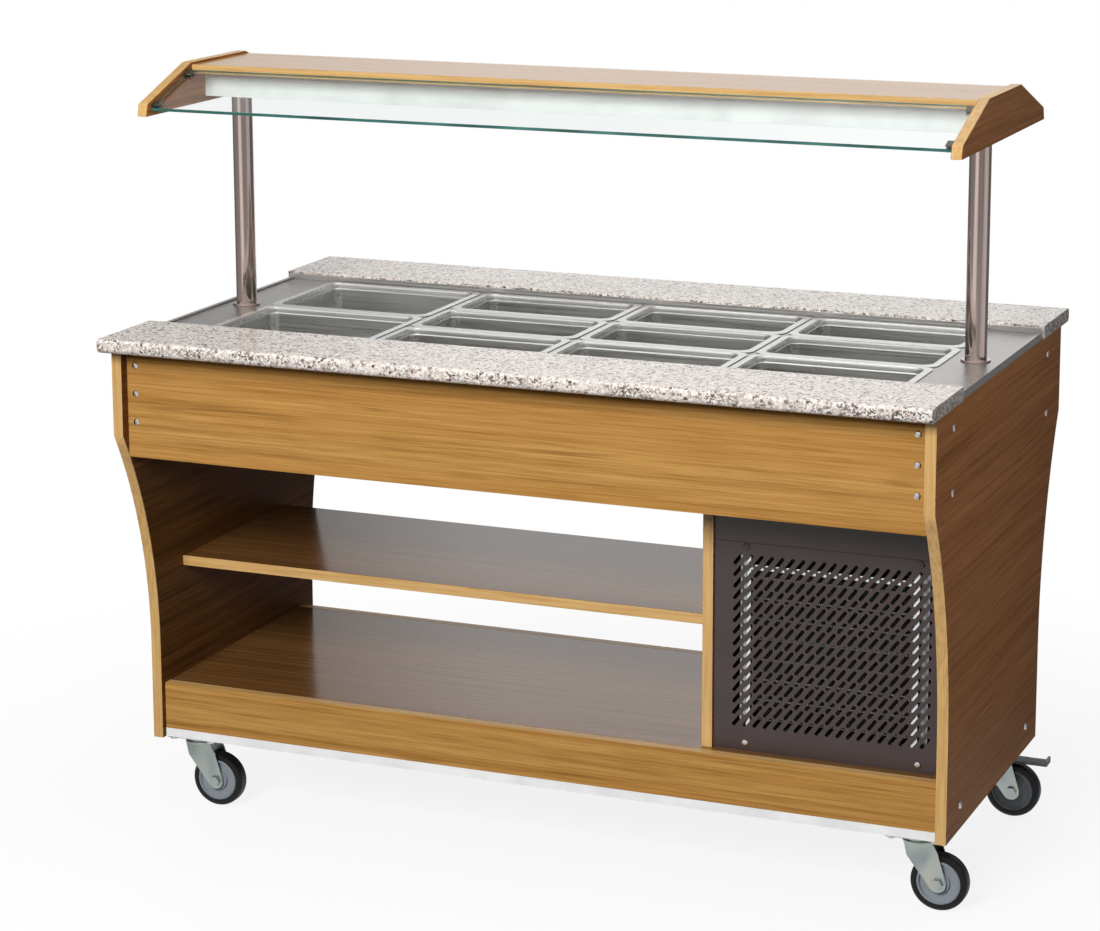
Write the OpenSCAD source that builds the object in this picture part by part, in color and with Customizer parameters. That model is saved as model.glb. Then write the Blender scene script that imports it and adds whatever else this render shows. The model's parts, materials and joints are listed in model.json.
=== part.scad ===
// Mobile refrigerated salad bar. Millimetres, +Z up, floor at z = 0, guests stand on the -Y side.
// The origin is the middle of the footprint's bounding box, on the floor.

/* [Cabinet] */
// Length over both side panels
body_len = 1504; // [1502:1:1508]
// Thickness of every wooden board
board = 19; // [16:0.5:25]
// Depth of the side panels at the worktop
top_depth = 832; // [760:4:900]
// Depth of the side panels at the bottom
low_depth = 612; // [580:4:660]
// Height of the underside of the side panels
base_z = 135; // [133:1:137]
// Height of the top of the side panels
body_top = 886; // [866:2:906]
// Height at which the side panel edge starts to sweep out
sweep_z = 314; // [260:2:380]
// Depth below the panel's top at which its edge turns straight
kink_drop = 157; // [146:1:186]

/* [Front boards] */
// Height of the apron under the worktop
apron_h = 198; // [190:1:204]
// How far the apron sits behind the side panel edge
apron_set = 20; // [8:1:40]
// How far the plinth sits behind the side panel edge
plinth_set = 12; // [4:1:30]
// Height of the bright steel rail under the plinth
rail_h = 16; // [12:1:24]
// Depth of each base rail, front to back
rail_d = 94; // [92:1:110]
// Height of the deck surface
deck_z = 238; // [220:1:260]
// Rear edge of the deck
deck_back = 259; // [250:1:280]

/* [Shelf and divider] */
// Height of the shelf surface
shelf_z = 460; // [400:5:520]
// Front edge of the shelf
shelf_front = -215; // [-235:1:-150]
// Rear edge of the shelf
shelf_back = 188; // [120:1:230]
// Length of the cooling compartment with its divider
unit_len = 429; // [425:1:437]
// Length of the compressor's foot plate
foot_l = 210; // [190:2:220]
// Width of the compressor's foot plate
foot_w = 140; // [130:2:146]
// Front edge of the divider
divider_front = -262; // [-270:1:-260]

/* [Worktop] */
// Thickness of the granite
slab_t = 25; // [20:1:30]
// Depth of each granite slab
slab_d = 187; // [186:1:187]
// Granite overhang past the side panels
slab_end = 4; // [0:1:12]
// Granite overhang past the front and rear
slab_over = 43; // [42:1:44]
// Rounding of the outer long edge
slab_r = 9; // [4:0.5:12]

/* [Cold well] */
// Sheet thickness of the well and deck
sheet = 1.5; // [1:0.1:2]
// Height of the well's end decks over the side panels
well_rise = 10.5; // [8.5:0.1:12.5]
// Height of the upstands along the granite
upstand = 10.5; // [8:0.5:12]
// Width of the ledges between the granite and the tank
ledge = 15; // [13:0.5:18]
// Length of each end deck beside the pans
end_deck = 92; // [88:1:110]
// Inner height of the tank
tank_h = 174.5; // [160:0.5:180]
// Foam thickness around the tank
foam = 25; // [15:1:25]
// Hairline seam between the folded sheets of the well
seam = 0.05; // [0.02:0.01:0.2]
// Inner radius of the drain stub
drain_r = 12; // [8:0.5:16]
// Distance of the drain from the right end of the tank
drain_in = 90; // [50:5:130]
// Drain position, front to back
drain_y = 60; // [20:5:120]

/* [Pans] */
// Gap between the columns of pans
pan_gap = 5; // [3:0.5:8]
// Gap between pans in one column
row_gap = 1; // [0.6:0.1:2]
// How far the outer rims lie on the ledges
rim_seat = 8; // [7:0.5:9]
// Depth of the pans
pan_depth = 150; // [65:5:155]
// Width of the pan rim
pan_rim = 12; // [10:0.5:14]
// Wall of the pans
pan_wall = 1.2; // [0.8:0.1:1.5]
// Corner radius of the pan rim
pan_r = 20; // [14:1:28]

/* [Canopy] */
// Height of the canopy's end panels over the cabinet's side panels
canopy_gap = 399; // [319:5:459]
// Middle of the canopy, front to back
canopy_y = -30; // [-34:1:-24]
// Half depth of the canopy at its noses
nose_half = 272; // [260:1:290]
// Half depth of the canopy's flat top
roof_half = 104; // [96:1:110]
// Height of the blunt nose
nose_h = 22; // [20:1:26]
// Height of the end panels
canopy_h = 80; // [78:1:86]
// Diameter of the posts
post_d = 38; // [32:1:40]
// Distance of the posts from the outer faces
post_inset = 49; // [48:1:50]
// Wall of the posts
post_wall = 1.5; // [1.2:0.1:3]
// Height of the light housing
light_h = 47; // [40:1:50]
// Half depth of the light housing
light_half = 54; // [52:1:60]
// Glass thickness
glass_t = 6; // [5:0.5:6]

/* [Casters] */
// Wheel diameter
wheel_d = 100; // [96:1:101]
// Tyre width
tyre_w = 28; // [24:1:30]
// Distance of the casters from the outer faces
caster_inset = 64; // [62:1:82]
// How far the casters sit in from the side panels' lower corners
caster_set = 59; // [56:1:60]
// Length of the caster plates
plate_l = 100; // [94:1:110]
// Width of the caster plates
plate_w = 85; // [80:1:90]
// Bolt spacing along the caster plates
bolt_l = 76; // [70:1:80]
// Bolt spacing across the caster plates
bolt_w = 60; // [56:1:64]
// Distance of the outer cross members from the side panels
cross_in = 110; // [96:2:140]
// Width of the cross members
cross_w = 60; // [40:2:80]
// Distance of the axle behind the swivel
trail = 40; // [36:1:42]
// Radius of the caster axle
axle_r = 6; // [5:0.5:7]
// Running clearance of every shaft in its bore, on the radius
run_gap = 0.06; // [0.02:0.01:0.1]

/* [Grille] */
// Front face of the grille
grille_y = -257; // [-258:0.5:-256]
// Slot columns
slot_cols = 19; // [9:1:21]
// Slot rows
slot_rows = 15; // [7:1:16]
// Slot length
slot_len = 24; // [14:1:24]
// Slot width
slot_w = 6.5; // [4:0.5:7]

/* [Hidden] */
$fn = 48;
half_len = body_len / 2;
inner_x = half_len - board;
apron_z = body_top - apron_h;
apron_y = top_depth / 2 - apron_set;
plinth_y = low_depth / 2 - plinth_set;
rail_top = base_z + rail_h;
slab_y = top_depth / 2 + slab_over;
slab_x = half_len + slab_end;
slab_in = slab_y - slab_d;
well_top = body_top + well_rise;
pan_pitch = (body_len - 2 * end_deck) / 4;
pan_len = pan_pitch - pan_gap;
tank_x = 2 * pan_pitch - 10;
tank_y = slab_in - ledge;
third_w = (2 * (tank_y + rim_seat) - 2 * row_gap) / 3;
half_w = tank_y + rim_seat - row_gap;
third_y = third_w + row_gap;
half_y = (half_w + row_gap) / 2;
drain_x = tank_x - drain_in;
tank_floor = well_top - tank_h;
foam_x = tank_x + sheet + foam;
foam_y = tank_y + sheet + foam;
foam_top = body_top - 1;
divider_x = inner_x - unit_len;
unit_x0 = divider_x + board;
unit_back = deck_back - board;
unit_mid = (unit_x0 + inner_x) / 2;
kink_z = body_top - kink_drop;
sweep_r = (pow(kink_z - sweep_z, 2) + pow((top_depth - low_depth) / 2, 2)) / (top_depth - low_depth);
post_x = half_len - post_inset;
socket_z = body_top - 134;
socket_h = 110;
socket_l = 55;
socket_w = 70;
socket_floor = 7;
caster_x = half_len - caster_inset;
caster_y = low_depth / 2 - caster_set;
tip_x = caster_x + 104;
mid_x = (tip_x - slab_x) / 2;
canopy_z = body_top + canopy_gap;
roof_z = canopy_z + canopy_h;
board_top = roof_z - 4;
slant = atan2(canopy_h - nose_h, nose_half - 6 - roof_half);
slant_len = norm([canopy_h - nose_h, nose_half - 6 - roof_half]);
wheel_r = wheel_d / 2;
core_r = wheel_r - 12;
fork_in = tyre_w / 2 + 3;
fork_top = base_z - 14;
pedal_x = 24;
pedal_z = fork_top - 15;
grille_top = apron_z - 81;
grille_low = deck_z + 3;
pack_x0 = unit_mid - 146;
pack_x1 = unit_mid + 144;
pack_y0 = grille_y + 23;
pack_y1 = grille_y + 71;
pack_z0 = deck_z + 38;
pack_z1 = grille_top - 23;
pipe_x = unit_mid + 132;
pipe_z = pack_z1 - 14;
fan_y = grille_y + 111;
fan_z = (pack_z0 + pack_z1) / 2;
pot_y = 110;
pot_r = 82;
pot_top = deck_z + 148;
slot_px = 18.5;
slot_pz = 20.4;
slot_x0 = unit_mid + 4.5;
slot_z0 = (grille_low + grille_top) / 2 + 10;
screw_r = 2;
side_screws = [[-315, body_top - 35], [-315, body_top - 144], [315, body_top - 35], [315, body_top - 144],
               [-223, base_z + 44], [223, base_z + 44]];
apron_screws = [body_top - 31, body_top - 82, body_top - 133];
grille_screws = [for (x = [unit_mid - 147, unit_mid + 159], z = [grille_top - 7, grille_low + 11]) [x, z]];
back_screws = [for (x = [unit_mid - 147, unit_mid + 159], z = [apron_z - 22, grille_low + 11]) [x, z]];
control_x = unit_mid - 88;
rocker_x = unit_mid - 28;
gland_x = unit_mid + 92;
control_z = apron_z - 48;
wood = [0.72, 0.51, 0.26];
steel = [0.78, 0.78, 0.78];
zinc = [0.7, 0.71, 0.72];
dark = [0.3, 0.26, 0.26];
stone = [0.83, 0.8, 0.78];

// Moves the cabinet so that the bounding box is centred on the origin
module place() translate([-mid_x, 0, 0]) children();

// Box between two corners
module span(a, b) translate(a) cube([b[0] - a[0], b[1] - a[1], b[2] - a[2]]);

// Extrudes an outline drawn in Y and Z along X, from x0 over length t
module along_x(x0, t) translate([x0, 0, 0]) rotate([90, 0, 90]) linear_extrude(height = t) children();

// Extrudes an outline drawn in X and Z along Y, from y0 over length t
module along_y(y0, t) translate([0, y0 + t, 0]) rotate([90, 0, 0]) linear_extrude(height = t) children();

// Round bar along Y
module rod_y(x, y0, z, r, l) translate([x, y0, z]) rotate([-90, 0, 0]) cylinder(r = r, h = l);

// Round bar along X
module rod_x(x0, y, z, r, l) translate([x0, y, z]) rotate([0, 90, 0]) cylinder(r = r, h = l);

// Rectangle with rounded corners, centred
module round_rect(w, d, r) {
    square([w - 2 * r, d], center = true);
    square([w, d - 2 * r], center = true);
    for (i = [-1, 1], j = [-1, 1]) translate([i * (w / 2 - r), j * (d / 2 - r)]) circle(r = r);
}

// Outline of a side panel, in Y and Z
module side_outline() {
    translate([-low_depth / 2, base_z]) square([low_depth, sweep_z - base_z + 0.01]);
    difference() {
        translate([-top_depth / 2, sweep_z]) square([top_depth, body_top - sweep_z]);
        for (s = [-1, 1]) translate([s * (low_depth / 2 + sweep_r), sweep_z]) circle(r = sweep_r, $fn = 200);
    }
}

module side_panel(s) {
    difference() {
        along_x(s > 0 ? inner_x : -half_len, board) side_outline();
        for (p = side_screws) rod_x(s > 0 ? half_len - 14 : -half_len - 1, p[0], p[1], screw_r + 0.1, 15);
    }
}

module left_side_panel() color(wood) place() side_panel(-1);
module right_side_panel() color(wood) place() side_panel(1);

// Apron board; s is -1 for the front
module fascia(s) {
    y0 = s < 0 ? -apron_y : apron_y - board;
    difference() {
        span([-inner_x, y0, apron_z], [inner_x, y0 + board, body_top]);
        for (x = [-inner_x + 17, inner_x - 17], z = apron_screws)
            rod_y(x, s < 0 ? y0 - 1 : y0 + board - 14, z, screw_r + 0.1, 15);
    }
}

module front_fascia() color(wood) place() fascia(-1);
module rear_fascia() color(wood) place() fascia(1);

module bottom_deck() color(wood) place()
    span([-inner_x, -plinth_y + board, deck_z - board], [inner_x, deck_back - board, deck_z]);
module front_plinth() color(wood) place()
    span([-inner_x, -plinth_y, rail_top], [inner_x, -plinth_y + board, deck_z]);
module rear_plinth() color(wood) place()
    span([-inner_x, deck_back - board, rail_top], [inner_x, deck_back, deck_z]);
module middle_shelf() color(wood) place()
    span([-inner_x, shelf_front, shelf_z - board], [divider_x, shelf_back, shelf_z]);
module compartment_divider() color(wood) place()
    span([divider_x, divider_front, deck_z], [unit_x0, unit_back, apron_z]);

// Two long steel rails joined by three cross members, drilled for the caster bolts
module base_rails() color(steel) place() {
    difference() {
        union() {
            span([-inner_x, -plinth_y, base_z], [inner_x, -plinth_y + rail_d, rail_top]);
            span([-inner_x, plinth_y - rail_d, base_z], [inner_x, plinth_y, rail_top]);
            for (x = [-inner_x + cross_in, 0, inner_x - cross_in])
                span([x - cross_w / 2, -plinth_y + 10, base_z], [x + cross_w / 2, plinth_y - 10, rail_top]);
        }
        for (x = [-caster_x, caster_x], y = [-caster_y, caster_y], i = [-1, 1], j = [-1, 1])
            translate([x + i * bolt_l / 2, y + j * bolt_w / 2, base_z - 1]) cylinder(r = 4.1, h = rail_h - 2);
    }
}

// Granite slab with a rounded outer edge; s is -1 for the front
module slab(s) {
    along_x(-slab_x, 2 * slab_x) scale([s, 1]) union() {
        translate([slab_in, body_top]) square([slab_d - slab_r, slab_t]);
        translate([slab_in, body_top + slab_r]) square([slab_d, slab_t - 2 * slab_r]);
        for (z = [slab_r, slab_t - slab_r]) translate([slab_y - slab_r, body_top + z]) circle(r = slab_r);
    }
}

module front_worktop() color(stone) place() slab(-1);
module rear_worktop() color(stone) place() slab(1);

// Steel well folded from sheets that meet at hairline seams: floor with its drain stub, four walls,
// two end decks and two long ledges with upstands
module well_tank() color(steel) place() {
    dy = slab_in - 0.3;
    low = tank_floor + seam;
    high = well_top - sheet - seam;
    difference() {
        union() {
            span([-tank_x - sheet, -tank_y - sheet, tank_floor - sheet], [tank_x + sheet, tank_y + sheet, tank_floor]);
            translate([drain_x, drain_y, apron_z - 18]) cylinder(r = drain_r + 3, h = tank_floor - apron_z + 17);
        }
        translate([drain_x, drain_y, apron_z - 20]) cylinder(r = drain_r, h = 100);
    }
    for (s = [-1, 1]) {
        translate([0, s * (tank_y + sheet / 2), (low + high) / 2])
            cube([2 * (tank_x + sheet), sheet, high - low], center = true);
        translate([s * (tank_x + sheet / 2), 0, (low + high) / 2])
            cube([sheet, 2 * (tank_y - seam), high - low], center = true);
        difference() {
            translate([s * (tank_x + half_len) / 2, 0, well_top - sheet / 2])
                cube([half_len - tank_x, 2 * dy, sheet], center = true);
            translate([s * post_x, 0, well_top - 5]) cylinder(r = post_d / 2 + 0.3, h = 20);
        }
        translate([s * (half_len - sheet / 2), 0, (body_top + high) / 2])
            cube([sheet, 2 * dy, high - body_top], center = true);
        translate([s * (half_len - 4), 0, well_top + (3 + seam) / 2])
            cube([8, 2 * (dy - sheet - seam), 3 - seam], center = true);
        translate([0, s * (tank_y + dy) / 2, well_top - sheet / 2])
            cube([2 * (tank_x - seam), dy - tank_y, sheet], center = true);
        translate([0, s * (dy - sheet / 2), well_top + (upstand + seam) / 2])
            cube([2 * half_len, sheet, upstand - seam], center = true);
    }
}

// Foam panels against the floor and walls of the well
module well_insulation() color([0.9, 0.85, 0.6]) place() {
    floor_top = tank_floor - sheet;
    difference() {
        span([-foam_x, -foam_y, apron_z], [foam_x, foam_y, floor_top]);
        translate([drain_x, drain_y, apron_z - 1]) cylinder(r = drain_r + 3.3, h = 100);
    }
    for (s = [-1, 1]) {
        translate([0, s * (foam_y - foam / 2), (floor_top + seam + foam_top) / 2])
            cube([2 * foam_x, foam, foam_top - floor_top - seam], center = true);
        translate([s * (foam_x - foam / 2), 0, (floor_top + seam + foam_top) / 2])
            cube([foam, 2 * (foam_y - foam - seam), foam_top - floor_top - seam], center = true);
    }
}

// Removable-looking cross bars that carry the short pan rims
module pan_bars() color(steel) place() for (x = [-pan_pitch, 0, pan_pitch]) difference() {
    span([x - 9, -tank_y, well_top - 16], [x + 9, tank_y, well_top]);
    span([x - 7.5, -tank_y - 1, well_top - 17], [x + 7.5, tank_y + 1, well_top - sheet]);
}

// Pan with a flat rim; column is -1.5 to 1.5, w its width front to back
module pan(column, y, w) translate([column * pan_pitch, y, well_top]) {
    difference() {
        union() {
            linear_extrude(height = pan_wall) round_rect(pan_len, w, pan_r);
            translate([0, 0, -pan_depth]) linear_extrude(height = pan_depth + 0.5)
                round_rect(pan_len - 2 * pan_rim - 4, w - 2 * pan_rim, pan_r - 4);
        }
        translate([0, 0, -pan_depth + pan_wall]) linear_extrude(height = pan_depth + 5)
            round_rect(pan_len - 2 * pan_rim - 4 - 2 * pan_wall, w - 2 * pan_rim - 2 * pan_wall, pan_r - 4 - pan_wall);
    }
}

module pan_half_front() color(steel) place() pan(-1.5, -half_y, half_w);
module pan_half_rear() color(steel) place() pan(-1.5, half_y, half_w);
module pan_b_front() color(steel) place() pan(-0.5, -third_y, third_w);
module pan_b_middle() color(steel) place() pan(-0.5, 0, third_w);
module pan_b_rear() color(steel) place() pan(-0.5, third_y, third_w);
module pan_c_front() color(steel) place() pan(0.5, -third_y, third_w);
module pan_c_middle() color(steel) place() pan(0.5, 0, third_w);
module pan_c_rear() color(steel) place() pan(0.5, third_y, third_w);
module pan_d_front() color(steel) place() pan(1.5, -third_y, third_w);
module pan_d_middle() color(steel) place() pan(1.5, 0, third_w);
module pan_d_rear() color(steel) place() pan(1.5, third_y, third_w);

// Hermetic pot on a foot plate, with its terminal box
module compressor() color([0.12, 0.12, 0.13]) place() {
    translate([unit_mid, pot_y, deck_z + 18]) {
        difference() {
            translate([-foot_l / 2, -foot_w / 2, 0]) cube([foot_l, foot_w, 4]);
            for (i = [-1, 1], j = [-1, 1])
                translate([i * (foot_l / 2 - 15), j * (foot_w / 2 - 14), -1]) cylinder(r = 5, h = 6);
        }
        translate([0, 0, 4]) cylinder(r = 40, h = 12);
        rotate_extrude($fn = 96) {
            difference() {
                translate([0, 14]) square([pot_r, 116]);
                translate([pot_r - 30, 14]) square([31, 30]);
                translate([pot_r - 30, 100]) square([31, 31]);
            }
            translate([pot_r - 30, 44]) circle(r = 30);
            translate([pot_r - 30, 100]) circle(r = 30);
            translate([0, 90]) square([pot_r - 30, 40]);
            translate([0, 14]) square([pot_r - 30, 20]);
        }
        translate([-105, -28, 60]) cube([45, 56, 50]);
    }
}

// Fin pack with return bends, and the pipe runs that join it to the compressor
module condenser() color([0.6, 0.62, 0.64]) place() {
    span([pack_x0, pack_y0, pack_z0], [pack_x1, pack_y1, pack_z1]);
    for (z = [pack_z0 + 13:26:pack_z1 - 24]) for (y = [pack_y0 + 12, pack_y1 - 12]) {
        rod_x(pack_x1, y, z, 4, 6);
        rod_x(pack_x1, y, z + 13, 4, 6);
        translate([pack_x1 + 6, y, z + 6.5]) rotate([90, 0, 0])
            rotate_extrude(angle = 180, start = -90, $fn = 32) translate([6.5, 0]) circle(r = 4);
    }
    rod_y(pipe_x, pack_y1 - 0.5, pipe_z, 4, pot_y - pack_y1 + 0.5);
    translate([pipe_x, pot_y, pipe_z]) sphere(r = 4);
    translate([pipe_x, pot_y, pot_top - 24]) cylinder(r = 4, h = pipe_z - pot_top + 24);
    translate([pipe_x, pot_y, pot_top - 24]) sphere(r = 4);
    rod_x(unit_mid + pot_r + 0.3, pot_y, pot_top - 24, 4, pipe_x - unit_mid - pot_r - 0.3);
    translate([unit_mid - 30, pot_y, pot_top + 0.4]) cylinder(r = 4, h = apron_z - pot_top - 0.4);
}

// Galvanised base tray, condenser surround and fan shroud
module unit_frame() color(zinc) place() difference() {
    union() {
        span([unit_x0 + 22, grille_y + 11, deck_z], [inner_x - 18, unit_back - 35, deck_z + 18]);
        span([pack_x0 - 16, pack_y0 - 8, deck_z + 17], [pack_x1 + 27, pack_y1 + 8, pack_z1 + 14]);
    }
    span([unit_x0 + 24, grille_y + 13, deck_z - 1], [inner_x - 20, unit_back - 37, deck_z + 16]);
    span([pack_x0 - 1.5, pack_y0 - 9, pack_z0 - 1.5], [pack_x1 + 12.5, pack_y1 + 6, pack_z1 + 1.5]);
    span([pack_x0 - 14, pack_y0 - 6, deck_z + 18], [pack_x1 + 25, pack_y1 + 6, pack_z1 + 12]);
    rod_y(unit_mid, pack_y1 + 1, fan_z, 132, 20);
    rod_y(pipe_x, pack_y1 + 1, pipe_z, 4.5, 20);
}

module fan_motor() color([0.16, 0.16, 0.17]) place() {
    rod_y(unit_mid, fan_y + 34, fan_z, 38, 58);
    rod_y(unit_mid, fan_y + 24, fan_z, 16, 11);
    rod_y(unit_mid, fan_y - 2, fan_z, 4, 28);
    for (a = [45, 135, 225, 315]) translate([unit_mid, 0, fan_z]) rotate([0, a, 0]) {
        translate([34, fan_y + 36, -8]) cube([111, 3, 16]);
        translate([142, fan_y - 32, -8]) cube([3, 70, 16]);
    }
}

// Five pitched blades on a hub that runs on the motor shaft
module fan_blade() color([0.2, 0.2, 0.22]) place() translate([unit_mid, fan_y, fan_z]) rotate([90, 0, 0])
    difference() {
        union() {
            translate([0, 0, -16]) cylinder(r = 22, h = 22);
            for (a = [0:72:359]) rotate([0, 0, a]) translate([18, 0, -5]) rotate([28, 0, 0])
                linear_extrude(height = 1.8) polygon([[0, -9], [40, -27], [92, -30], [98, -10], [94, 26], [45, 22], [0, 9]]);
        }
        translate([0, 0, -30]) cylinder(r = 4 + run_gap, h = 33);
    }

// Plain dark sheet around the grille: header strip and narrow returns
module grille_frame() color(dark) place() {
    y0 = grille_y + 1.5;
    difference() {
        span([unit_x0, y0, deck_z], [inner_x, y0 + 1.5, apron_z]);
        span([unit_x0 + 22, y0 - 1, deck_z + 30], [inner_x - 22, y0 + 3, grille_top - 16]);
        for (p = grille_screws) rod_y(p[0], y0 - 1, p[1], screw_r + 0.1, 4);
    }
    span([unit_x0, grille_y, grille_top + 2], [inner_x, y0, apron_z]);
}

// Field of leaning slots, in X and Z, centred on the given point
module slot_field(x, z, rows) {
    for (i = [0:slot_cols - 1], j = [0:rows - 1])
        translate([x + (i - (slot_cols - 1) / 2) * slot_px, z + (j - (rows - 1) / 2) * slot_pz]) rotate(52) {
            square([slot_len - slot_w, slot_w], center = true);
            for (s = [-1, 1]) translate([s * (slot_len - slot_w) / 2, 0]) circle(r = slot_w / 2, $fn = 16);
        }
}

module front_grille() color(dark) place() along_y(grille_y, 1.5) difference() {
    translate([unit_x0 + 1, grille_low]) square([inner_x - unit_x0 - 2, grille_top - grille_low]);
    slot_field(slot_x0, slot_z0, slot_rows);
    for (p = grille_screws) translate(p) circle(r = screw_r + 0.1);
}

module rear_grille() color(dark) place() along_y(unit_back, 1.5) difference() {
    translate([unit_x0, deck_z]) square([inner_x - unit_x0, apron_z - deck_z]);
    slot_field(slot_x0, slot_z0 - slot_pz, slot_rows - 2);
    for (p = back_screws) translate(p) circle(r = screw_r + 0.1);
    translate([control_x, control_z]) square([71, 29], center = true);
    translate([rocker_x, control_z]) square([27, 33], center = true);
    translate([gland_x, control_z]) circle(r = 10.2);
}

// Thermostat with its bezel, and the frame of the main switch
module control_module() color([0.08, 0.08, 0.09]) place() {
    span([control_x - 35, unit_back - 55, control_z - 14], [control_x + 35, unit_back + 1.5, control_z + 14]);
    span([control_x - 39, unit_back + 1.5, control_z - 18], [control_x + 39, unit_back + 6, control_z + 18]);
    difference() {
        union() {
            span([rocker_x - 13, unit_back - 24, control_z - 16], [rocker_x + 13, unit_back + 1.5, control_z + 16]);
            span([rocker_x - 15, unit_back + 1.5, control_z - 18], [rocker_x + 15, unit_back + 3.5, control_z + 18]);
        }
        span([rocker_x - 11, unit_back - 20, control_z - 15], [rocker_x + 11, unit_back + 4, control_z + 15]);
        rod_x(rocker_x - 12.5, unit_back, control_z, 1.5 + run_gap, 25);
    }
}

module power_rocker() color([0.1, 0.35, 0.12]) place() translate([rocker_x, unit_back, control_z]) rotate([-8, 0, 0]) {
    rod_x(-12, 0, 0, 1.5, 24);
    span([-10.5, -3, -13], [10.5, 5, 13]);
}

// Hollow cable gland in the rear grille
module power_inlet() color([0.06, 0.06, 0.06]) place() difference() {
    union() {
        rod_y(gland_x, unit_back - 14, control_z, 10, 22);
        translate([gland_x, unit_back + 7.5, control_z]) rotate([90, 30, 0]) cylinder(r = 15, h = 6, $fn = 6);
        translate([gland_x, unit_back, control_z]) rotate([90, 30, 0]) cylinder(r = 14, h = 5, $fn = 6);
        rod_y(gland_x, unit_back + 7, control_z, 11, 12);
    }
    rod_y(gland_x, unit_back - 20, control_z, 5, 60);
}

// Tube from its socket up through the deck and into the light housing
module post(s) translate([s * post_x, 0, socket_z]) difference() {
    cylinder(r = post_d / 2, h = board_top - board - sheet - socket_z);
    translate([0, 0, -1]) cylinder(r = post_d / 2 - post_wall, h = board_top - socket_z);
}

module left_post() color(steel) place() post(-1);
module right_post() color(steel) place() post(1);

// Sockets on the side panels, and the collars that cover the deck holes
module post_sockets() color(steel) place() for (s = [-1, 1]) {
    difference() {
        translate([s * (inner_x - socket_l / 2), 0, socket_z + socket_h / 2 - socket_floor])
            cube([socket_l, socket_w, socket_h], center = true);
        translate([s * post_x, 0, socket_z]) cylinder(r = post_d / 2 + 0.1, h = 2 * socket_h);
    }
    translate([s * post_x, 0, well_top]) difference() {
        cylinder(r = post_d / 2 + 7, h = 3);
        translate([0, 0, -1]) cylinder(r = post_d / 2 + 0.1, h = 6);
    }
}

// Outline of a canopy end panel, in Y and Z
module canopy_outline() translate([canopy_y, canopy_z]) polygon([
    [-nose_half, 0], [-nose_half + 6, nose_h], [-roof_half, canopy_h],
    [roof_half, canopy_h], [nose_half - 6, nose_h], [nose_half, 0]]);

module canopy_left_panel() color(wood) place() along_x(-half_len, board) canopy_outline();
module canopy_right_panel() color(wood) place() along_x(inner_x, board) canopy_outline();
module canopy_board() color(wood) place()
    span([-inner_x, canopy_y - roof_half, board_top - board], [inner_x, canopy_y + roof_half, board_top]);

// White housing under the roof board, open below for the lens
module light_housing() color([0.93, 0.94, 0.94]) place() {
    top = board_top - board;
    low = top - light_h;
    difference() {
        span([-inner_x, canopy_y - light_half, low], [inner_x, canopy_y + light_half, top]);
        span([-post_x + 40, canopy_y - light_half + sheet, low - 1], [post_x - 40, canopy_y + light_half - sheet, top - sheet]);
        for (s = [-1, 1]) {
            translate([s * (post_x - 5), canopy_y, low + light_h / 2])
                cube([2 * (inner_x - post_x) + 7, 2 * light_half - 2 * sheet, light_h - 2 * sheet], center = true);
            translate([s * post_x, 0, low - 1]) cylinder(r = post_d / 2 + 0.1, h = light_h - sheet);
        }
    }
}

module light_lens() color([0.96, 0.97, 0.97, 0.8]) place() translate([0, canopy_y, board_top - board - light_h + 1.5])
    cube([2 * post_x - 81, 2 * light_half - 2 * sheet - 0.6, 3], center = true);

// Local frame of a sloping pane: along the slope from the nose, s is -1 for the front
module slope(s) translate([0, canopy_y + s * (nose_half - 6), canopy_z + nose_h])
    mirror([0, s > 0 ? 1 : 0, 0]) rotate([slant, 0, 0]) children();

module pane(s) slope(s) span([-inner_x + 3, 4, -9 - glass_t], [inner_x - 3, slant_len - 12, -9]);
module front_glass() color([0.75, 0.87, 0.85, 0.3]) place() pane(-1);
module rear_glass() color([0.75, 0.87, 0.85, 0.3]) place() pane(1);

// Clips on the end panels that hold the panes
module glass_clips() color(steel) place() for (s = [-1, 1], x = [-1, 1], d = [10, slant_len - 36])
    slope(s) difference() {
        translate([x * (inner_x - 7), d + 9, -12]) cube([14, 18, 13], center = true);
        translate([x * (inner_x - 12.5), d + 9, -9 - glass_t / 2]) cube([20, 20, glass_t + 0.4], center = true);
    }

// Dome screw along +X or -X, head outside the panel
module dome(l) {
    translate([0, 0, -l]) cylinder(r = screw_r, h = l);
    rotate_extrude($fn = 32) difference() {
        translate([0, -4]) circle(r = 7.4, $fn = 64);
        translate([-10, -14]) square([10, 24]);
        translate([0, -14]) square([10, 14]);
    }
}

module screws() color(steel) place() {
    for (s = [-1, 1], p = side_screws) translate([s * half_len, p[0], p[1]]) rotate([0, s * 90, 0]) dome(13);
    for (s = [-1, 1], x = [-inner_x + 17, inner_x - 17], z = apron_screws)
        translate([x, s * apron_y, z]) rotate([-s * 90, 0, 0]) dome(13);
    for (p = grille_screws) translate([p[0], grille_y, p[1]]) rotate([90, 0, 0]) dome(3);
    for (p = back_screws) translate([p[0], unit_back + 1.5, p[1]]) rotate([-90, 0, 0]) dome(1.5);
    for (x = [-caster_x, caster_x], y = [-caster_y, caster_y], i = [-1, 1], j = [-1, 1])
        translate([x + i * bolt_l / 2, y + j * bolt_w / 2, base_z - 3]) {
            cylinder(r = 4, h = rail_h - 2);
            translate([0, 0, -5.5]) cylinder(r = 7.5, h = 5.5, $fn = 6);
        }
}

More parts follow.
